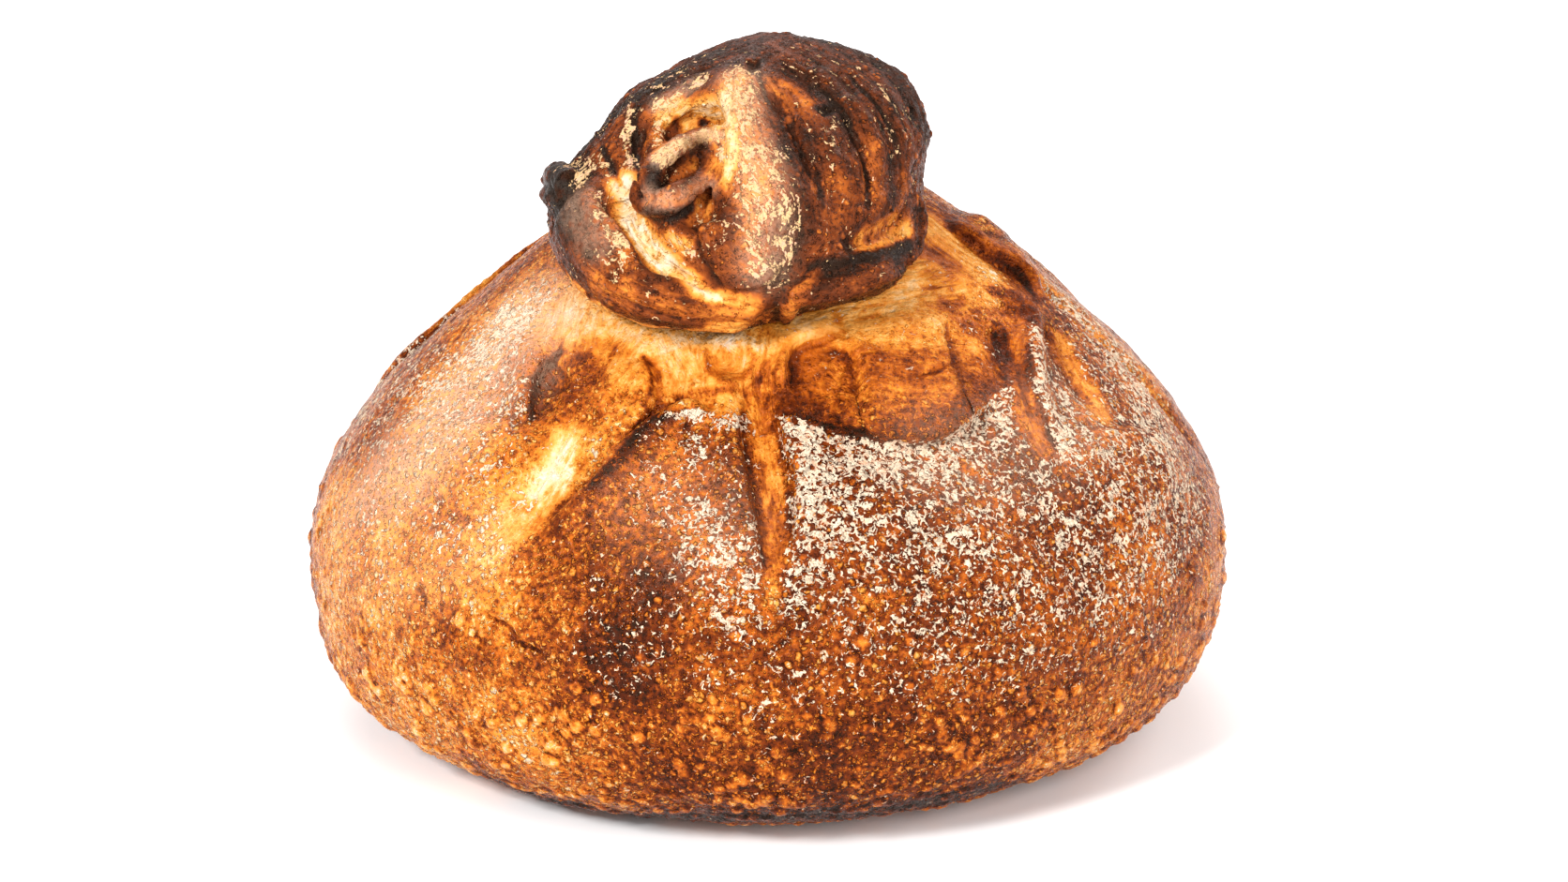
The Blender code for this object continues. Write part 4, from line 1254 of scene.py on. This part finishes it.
def crust(name, colours, powder_colour, blistering, gloss_level, stretched):
    """Baked crust: colour by how far it is baked, blistered, stringy where torn, floured and charred, with
    painted shade in hollows and round blisters, and painted highlight on blister tops and flakes.
    """
    g = Graph(name)
    place = g.vector_math("MULTIPLY", Value(g, g.node("TexCoord").outputs["Object"]), (1 / MM,) * 3)
    grain = g.attribute("grain", "Vector")
    flour, torn, dome = g.attribute("flour"), g.attribute("torn"), g.attribute("blister")
    plain = 1.0 - torn
    middle = g.noise(place, *MIDDLE)
    fine = g.noise(place, *FINE)
    strings = g.noise(g.vector_math("MULTIPLY", grain, STRING_SCALE), *STRINGS) - 0.5
    strings = strings * g.attribute("sure")
    small = pebbles(g, place, blistering) * plain * g.step(dome, *OFF_DOME_SPAN)
    raised = g.math("MAXIMUM", small, dome)

    # flakes of flour and of pale skin, which also serve as painted glints, and cracks
    flake_place = g.vector_math("MULTIPLY", place, (FLAKE_SCALE,) * 3)
    spots = g.noise(flake_place, *FLAKES)
    if stretched:
        streaks = g.noise(g.vector_math("MULTIPLY", grain, STREAK_SCALE), *STREAKS)
        spots = (spots + streaks) * STREAKY - STREAKY_LESS
    lines = g.thin_lines(g.noise(flake_place, *FLAKE_EDGES), LINE_WIDTH) * g.step(spots, *FLAKE_EDGE_SPAN)
    flakes_and_glints = g.math("MAXIMUM", g.step(spots, *FLAKE_SPAN), lines) * plain * blistering
    cracks = g.thin_lines(g.noise(place, *CRACK_LINES), LINE_WIDTH) * g.step(fine, *CRACK_SPAN)
    if not stretched:
        cracks = cracks * (plain * BODY_CRACKS)

    # how dark the crust is: bake and tone, with painted shade in hollows and round blisters, and painted
    # highlight on blister tops and flakes
    level = cracks * CRACK_DARK + (g.attribute("bake") + BAKE_SHIFT)
    level = level + (g.noise(place, *BROAD) - 0.5) * BROAD_DARK
    level = level + (middle - 0.5) * MIDDLE_DARK
    level = level + (fine - 0.5) * (plain * (PLAIN_FINE_DARK * blistering) + FINE_DARK * blistering)
    level = level + strings * (torn * TORN_STRING_DARK + STRING_DARK)
    # a darker ring round the foot of each blister: partly the blister's own rim, partly painted shade
    level = level + (g.step(raised, *RIM_SPAN) - g.step(raised, *ABOVE_RIM_SPAN)) * RIM_DARK_AND_SHADE
    # paler blister tops: partly their own thinner skin, partly painted highlight
    level = level - g.step(small, *PEBBLE_TOP_SPAN) * PEBBLE_PALE_AND_HIGHLIGHT
    level = level - g.step(dome, *DOME_TOP_SPAN) * DOME_PALE_AND_HIGHLIGHT
    # pale flakes of skin, partly painted glints
    level = level - flakes_and_glints * FLAKE_PALE_AND_GLINT
    # painted shade in the hollows of the skin, where the crest measure falls below zero
    level = level + g.step(g.attribute("crest"), *CREASE_SHADE_SPAN) * CREASE_SHADE
    colour = g.ramp(level, list(zip(BAKE_STOPS, colours)))

    # soot, a thin film of flour, and flour that lies in grains
    soot = g.attribute("ash") * g.step(g.noise(place, *SOOT), *SOOT_SPAN)
    colour = g.mix(soot, colour, SOOT_COLOUR)
    powder = spots + (middle - 0.5) * POWDER_PATCHY
    bare = flour * BARE_FALL + BARE_START
    dust = g.step(powder - bare, *DUST_SPAN) * g.step(flour, *FLOURED_SPAN) * (1.0 - cracks)
    film = g.attribute("film") * g.step(fine, *FILM_SPAN)
    colour = g.mix(film, colour, FILM_COLOUR)
    powder_colour = g.mix(g.step(fine, *POWDER_SPAN), FILM_COLOUR, powder_colour)
    colour = g.mix(dust * DUST_COVER, colour, powder_colour)

    relief = small * PEBBLE_RELIEF + flakes_and_glints * FLAKE_RELIEF + fine * (FINE_RELIEF * blistering)
    relief = relief + strings * (torn * TORN_STRING_RELIEF + STRING_RELIEF)
    relief = relief + dust * DUST_RELIEF - cracks * CRACK_RELIEF
    bump = g.node("Bump", {"Strength": 1.0, "Distance": RELIEF_UNIT, "Height": relief})
    g.shade({
        "Base Color": colour,
        "Roughness": g.math("MAXIMUM", g.step(fine, *ROUGH_SPAN), dust * DUST_ROUGH),
        "Specular IOR Level": gloss_level,
        "Specular Tint": GLOSS_TINT,
        "Normal": Value(g, bump.outputs[0]),
    })
    return g.material


def dress(piece, material):
    """Gives a skin its material, and makes it stand for the solid loaf."""
    piece.data.materials.clear()
    piece.data.materials.append(material)
    piece.data.shade_smooth()
    piece.location = SET_DOWN
    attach(piece, "root")
    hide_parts("loaf")


# The studio: softboxes (name, place, target, size, watts), the floor and the white all round it
LOAF_MIDDLE = (0, 0, 0.09)
SOFTBOXES = [
    ("key", (-0.72, -1.02, 0.92), LOAF_MIDDLE, 0.32, 24),
    ("front", (0.70, -1.20, 0.80), LOAF_MIDDLE, 0.8, 15),
    ("rim", (0.9, 0.5, 0.8), LOAF_MIDDLE, 0.6, 6),
    ("back", (-0.2, 1.3, 1.5), (0, 1.2, 0), 1.4, 26),
]
FLOOR_HALF = 4.0
FLOOR_COLOUR = (0.93, 0.92, 0.92, 1)
SURROUND_STRENGTH = 0.58
SENSOR_WIDTH = 36


def softbox(name, place, target, size, watts):
    """A square area light that looks at a point."""
    lamp = bpy.data.lights.new(name, "AREA")
    lamp.size = size
    lamp.energy = watts
    made = add_object(name, lamp)
    made.location = place
    made.rotation_euler = (Vector(target) - Vector(place)).to_track_quat("-Z", "Y").to_euler()


def make_studio():
    """A white floor that fades into a white surround, and soft light from the upper left."""
    bm = bmesh.new()
    bmesh.ops.create_grid(bm, x_segments=1, y_segments=1, size=FLOOR_HALF)
    floor = add_mesh("floor", bm)
    paper = Graph("floor_paper")
    paper.shade({"Base Color": FLOOR_COLOUR, "Roughness": 0.8, "Specular IOR Level": 0.1})
    floor.data.materials.append(paper.material)
    world = bpy.data.worlds.new("surround")
    world.use_nodes = True
    surround = world.node_tree.nodes["Background"]
    surround.inputs["Color"].default_value = (1, 1, 1, 1)
    surround.inputs["Strength"].default_value = SURROUND_STRENGTH
    bpy.context.scene.world = world
    for settings in SOFTBOXES:
        softbox(*settings)


def make_camera():
    """The photograph's view: 20 degrees down, with the frame's centre on the face point."""
    eye, _, _, forward = eye_axes()
    lens = bpy.data.cameras.new("camera")
    lens.sensor_width = SENSOR_WIDTH
    lens.lens = SENSOR_WIDTH * EYE_DISTANCE / (PHOTO_SIZE[0] / PHOTO_PIXELS_PER_MM * MM)
    lens.clip_start = 0.05
    camera = add_object("camera", lens)
    camera.location = eye + SET_DOWN
    camera.rotation_euler = forward.to_track_quat("-Z", "Y").to_euler()
    bpy.context.scene.camera = camera


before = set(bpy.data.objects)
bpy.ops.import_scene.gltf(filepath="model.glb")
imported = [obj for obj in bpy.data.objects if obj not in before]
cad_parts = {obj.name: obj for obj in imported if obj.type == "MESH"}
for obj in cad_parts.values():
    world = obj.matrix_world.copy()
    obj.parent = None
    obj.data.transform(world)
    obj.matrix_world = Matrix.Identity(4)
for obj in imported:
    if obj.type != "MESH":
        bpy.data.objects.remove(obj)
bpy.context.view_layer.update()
make_camera()
make_studio()
dress(make_body(), crust("body_crust", **BODY_LOOK))
dress(make_knot(), crust("topknot_crust", **KNOT_LOOK))
bpy.context.scene.view_settings.view_transform = "Standard"
